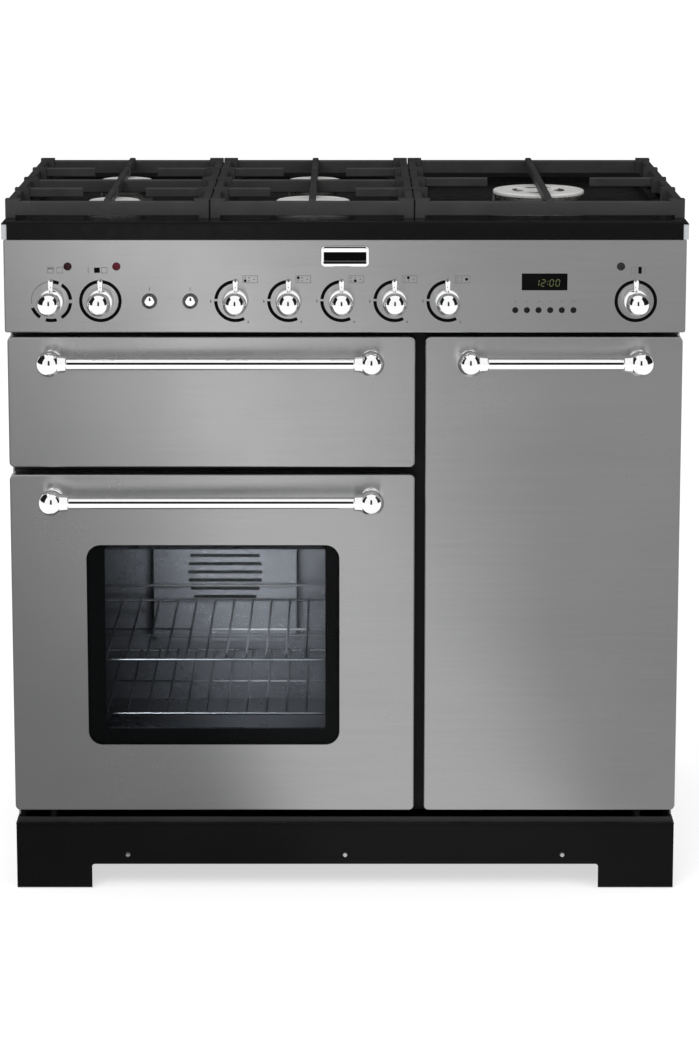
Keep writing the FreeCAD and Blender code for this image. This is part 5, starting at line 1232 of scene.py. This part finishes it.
def floor_finish():
    """Pale floor. The camera and mirror-bright metal see it near white with the object's shadow,
    and satin surfaces see it as a dim room with one soft light band that slants across it."""
    made, tree, surface = material("floor", Roughness=0.9, Specular_IOR_Level=0.0)
    surface.inputs["Base Color"].default_value = (FLOOR_GREY, FLOOR_GREY, FLOOR_GREY, 1.0)
    ray = new_node(tree, "ShaderNodeLightPath")
    place = new_node(tree, "ShaderNodeTexCoord").outputs["Object"]
    parts = new_node(tree, "ShaderNodeSeparateXYZ")
    wire(tree, place, parts.inputs["Vector"])
    across, away = parts.outputs["X"], parts.outputs["Y"]
    centre = math_node(tree, "ADD", math_node(tree, "MULTIPLY", away, BAND_SLANT), BAND_START)
    half = math_node(tree, "ADD", math_node(tree, "MULTIPLY", away, -BAND_SPREAD), BAND_HALF)
    share = math_node(tree, "DIVIDE", math_node(tree, "SUBTRACT", across, centre), half)
    level = new_node(tree, "ShaderNodeMapRange", interpolation_type="SMOOTHSTEP",
                     From_Min=FADE_START_SHARE, From_Max=FADE_END_SHARE)
    wire(tree, math_node(tree, "ABSOLUTE", share, 0.0), level.inputs["Value"])
    gain = math_node(tree, "MINIMUM", math_node(tree, "MULTIPLY", away, -BAND_GAIN), BAND_GAIN_MOST)
    wire(tree, math_node(tree, "ADD", gain, BAND_LIGHT), level.inputs["To Min"])
    dark = spread(tree, share, -DARK_STEP_SHARE, DARK_STEP_SHARE, DARK_LEFT, DARK_RIGHT)
    wire(tree, dark, level.inputs["To Max"])
    dim = new_node(tree, "ShaderNodeEmission")
    wire(tree, level.outputs["Result"], dim.inputs["Strength"])
    white = new_node(tree, "ShaderNodeEmission", Strength=FLOOR_WHITE)
    seen = math_node(tree, "MAXIMUM", ray.outputs["Is Camera Ray"], ray.outputs["Is Singular Ray"])
    seen = math_node(tree, "MAXIMUM", seen, ray.outputs["Is Transmission Ray"])
    bright = new_node(tree, "ShaderNodeMixShader")
    wire(tree, math_node(tree, "MULTIPLY", seen, FLOOR_WHITE_SHARE), bright.inputs[0])
    wire(tree, surface.outputs[0], bright.inputs[1])
    wire(tree, white.outputs[0], bright.inputs[2])
    both = new_node(tree, "ShaderNodeMixShader")
    wire(tree, math_node(tree, "MAXIMUM", satin_rays(tree), 0.0), both.inputs[0])
    wire(tree, bright.outputs[0], both.inputs[1])
    wire(tree, dim.outputs[0], both.inputs[2])
    output = [n for n in tree.nodes if n.type == "OUTPUT_MATERIAL"][0]
    wire(tree, both.outputs[0], output.inputs["Surface"])
    return made


def board_finish(name, level, satin=0.0):
    """Even dark grey, seen by mirror-bright surfaces, and by satin ones only where it's asked for."""
    made = bpy.data.materials.new(name)
    made.use_nodes = True
    tree = made.node_tree
    tree.nodes.clear()
    glow = new_node(tree, "ShaderNodeEmission", Strength=1.0, Color=(level, level, level, 1.0))
    clear = new_node(tree, "ShaderNodeBsdfTransparent")
    ray = new_node(tree, "ShaderNodeLightPath")
    both = new_node(tree, "ShaderNodeMixShader")
    wire(tree, math_node(tree, "MAXIMUM", ray.outputs["Is Singular Ray"], satin), both.inputs[0])
    wire(tree, clear.outputs[0], both.inputs[1])
    wire(tree, glow.outputs[0], both.inputs[2])
    output = tree.nodes.new("ShaderNodeOutputMaterial")
    wire(tree, both.outputs[0], output.inputs["Surface"])
    return made


def board(name, start, end, foot, top, finish):
    """An upright board over a line on the floor. It throws no shadow and only shows in reflections."""
    made = plate_mesh(name, [(*start, foot), (*end, foot), (*end, top), (*start, top)], finish)
    made.visible_camera = False
    made.visible_diffuse = False
    made.visible_shadow = False
    made.visible_transmission = False


def stage():
    """The floor, and dark boards in front of the cooker, at its sides and behind it. Metres."""
    reach, depth = 30.0, -0.6 * MM
    plate_mesh("floor", [(-reach, -reach, depth), (reach, -reach, depth), (reach, reach, depth),
                         (-reach, reach, depth)], floor_finish())
    dark = board_finish("dark board", 0.012)
    dull = board_finish("dull board", 0.015, 1.0)
    front_half, front_y = 1.8, -12.0
    board("front_board", (-front_half, front_y), (front_half, front_y), 0.05, 10.0, dark)
    side_front, side_rear = -1.6, 1.3
    for side in (-2.4, 2.4):
        board("side_board", (side, side_front), (side, side_rear), 0.8, 4.2, dark)
    rear_half, rear_y = 1.6, 1.6
    board("rear_board", (-rear_half, rear_y), (rear_half, rear_y), 0.9, 2.6, dull)


def area_light(name, place, target, size, power, angle=180.0):
    """A soft lamp that metal doesn't mirror: its place, what it points at and its size in metres,
    its power in watts, and the angle over which it spreads in degrees."""
    lamp_data = bpy.data.lights.new(name, "AREA")
    lamp_data.spread = math.radians(angle)
    lamp_data.shape = "RECTANGLE"
    lamp_data.size, lamp_data.size_y = size
    lamp_data.energy = power
    made = bpy.data.objects.new(name, lamp_data)
    direction = np.array(target) - np.array(place)
    made.location = place
    made.rotation_euler = Vector(direction).to_track_quat("-Z", "Y").to_euler()
    made.visible_glossy = False
    bpy.context.scene.collection.objects.link(made)


def lights():
    """A key lamp from the left, a weaker one from the right, and two small ones in the glazed
    oven: one high up and one low down, both pointing at the rear wall."""
    area_light("key", (-1.6, -3.4, 3.2), (0.0, 0.0, 0.5), (2.6, 2.0), 95.0)
    area_light("fill", (2.6, -2.4, 2.2), (0.0, 0.0, 0.4), (2.0, 2.0), 30.0)
    first, last = low("left_oven_cavity"), high("left_oven_cavity")
    centre_x, rear = (first[0] + last[0]) / 2, last[1]
    below_top, over_floor = last[2] - 0.12, first[2] + 0.12
    upper = (centre_x - 0.015, first[1] + 0.10, last[2] - 0.06)
    area_light("oven lamp", upper, (upper[0], rear, below_top), (0.08, 0.05), 0.5, 75.0)
    lower = (centre_x + 0.055, first[1] + 0.06, first[2] + 0.20)
    area_light("oven glow", lower, (lower[0], rear, over_floor), (0.10, 0.14), 0.62, 75.0)


def world():
    """White all round, and a dimmer room where satin surfaces mirror it."""
    made = bpy.data.worlds.new("studio")
    bpy.context.scene.world = made
    made.use_nodes = True
    tree = made.node_tree
    tree.nodes.clear()
    shown = new_node(tree, "ShaderNodeBackground", Color=(1.0, 1.0, 1.0, 1.0))
    wire(tree, spread(tree, satin_rays(tree), 0.0, 1.0, 1.0, ROOM), shown.inputs["Strength"])
    output = tree.nodes.new("ShaderNodeOutputWorld")
    wire(tree, shown.outputs[0], output.inputs["Surface"])


def camera():
    """A long lens half a metre over the hob, tipped down and shifted to frame the cooker."""
    tip, place = 9.37, (0.0013, -4.278, 1.44)
    data = bpy.data.cameras.new("camera")
    data.lens = 105.95
    data.shift_x = 0.0033
    data.shift_y = -0.19
    data.clip_end = 100.0
    made = bpy.data.objects.new("camera", data)
    made.location = place
    made.rotation_euler = (math.radians(90 - tip), 0.0, 0.0)
    bpy.context.scene.collection.objects.link(made)
    bpy.context.scene.camera = made


stage()
lights()
world()
camera()
bpy.context.scene.view_settings.view_transform = "Standard"
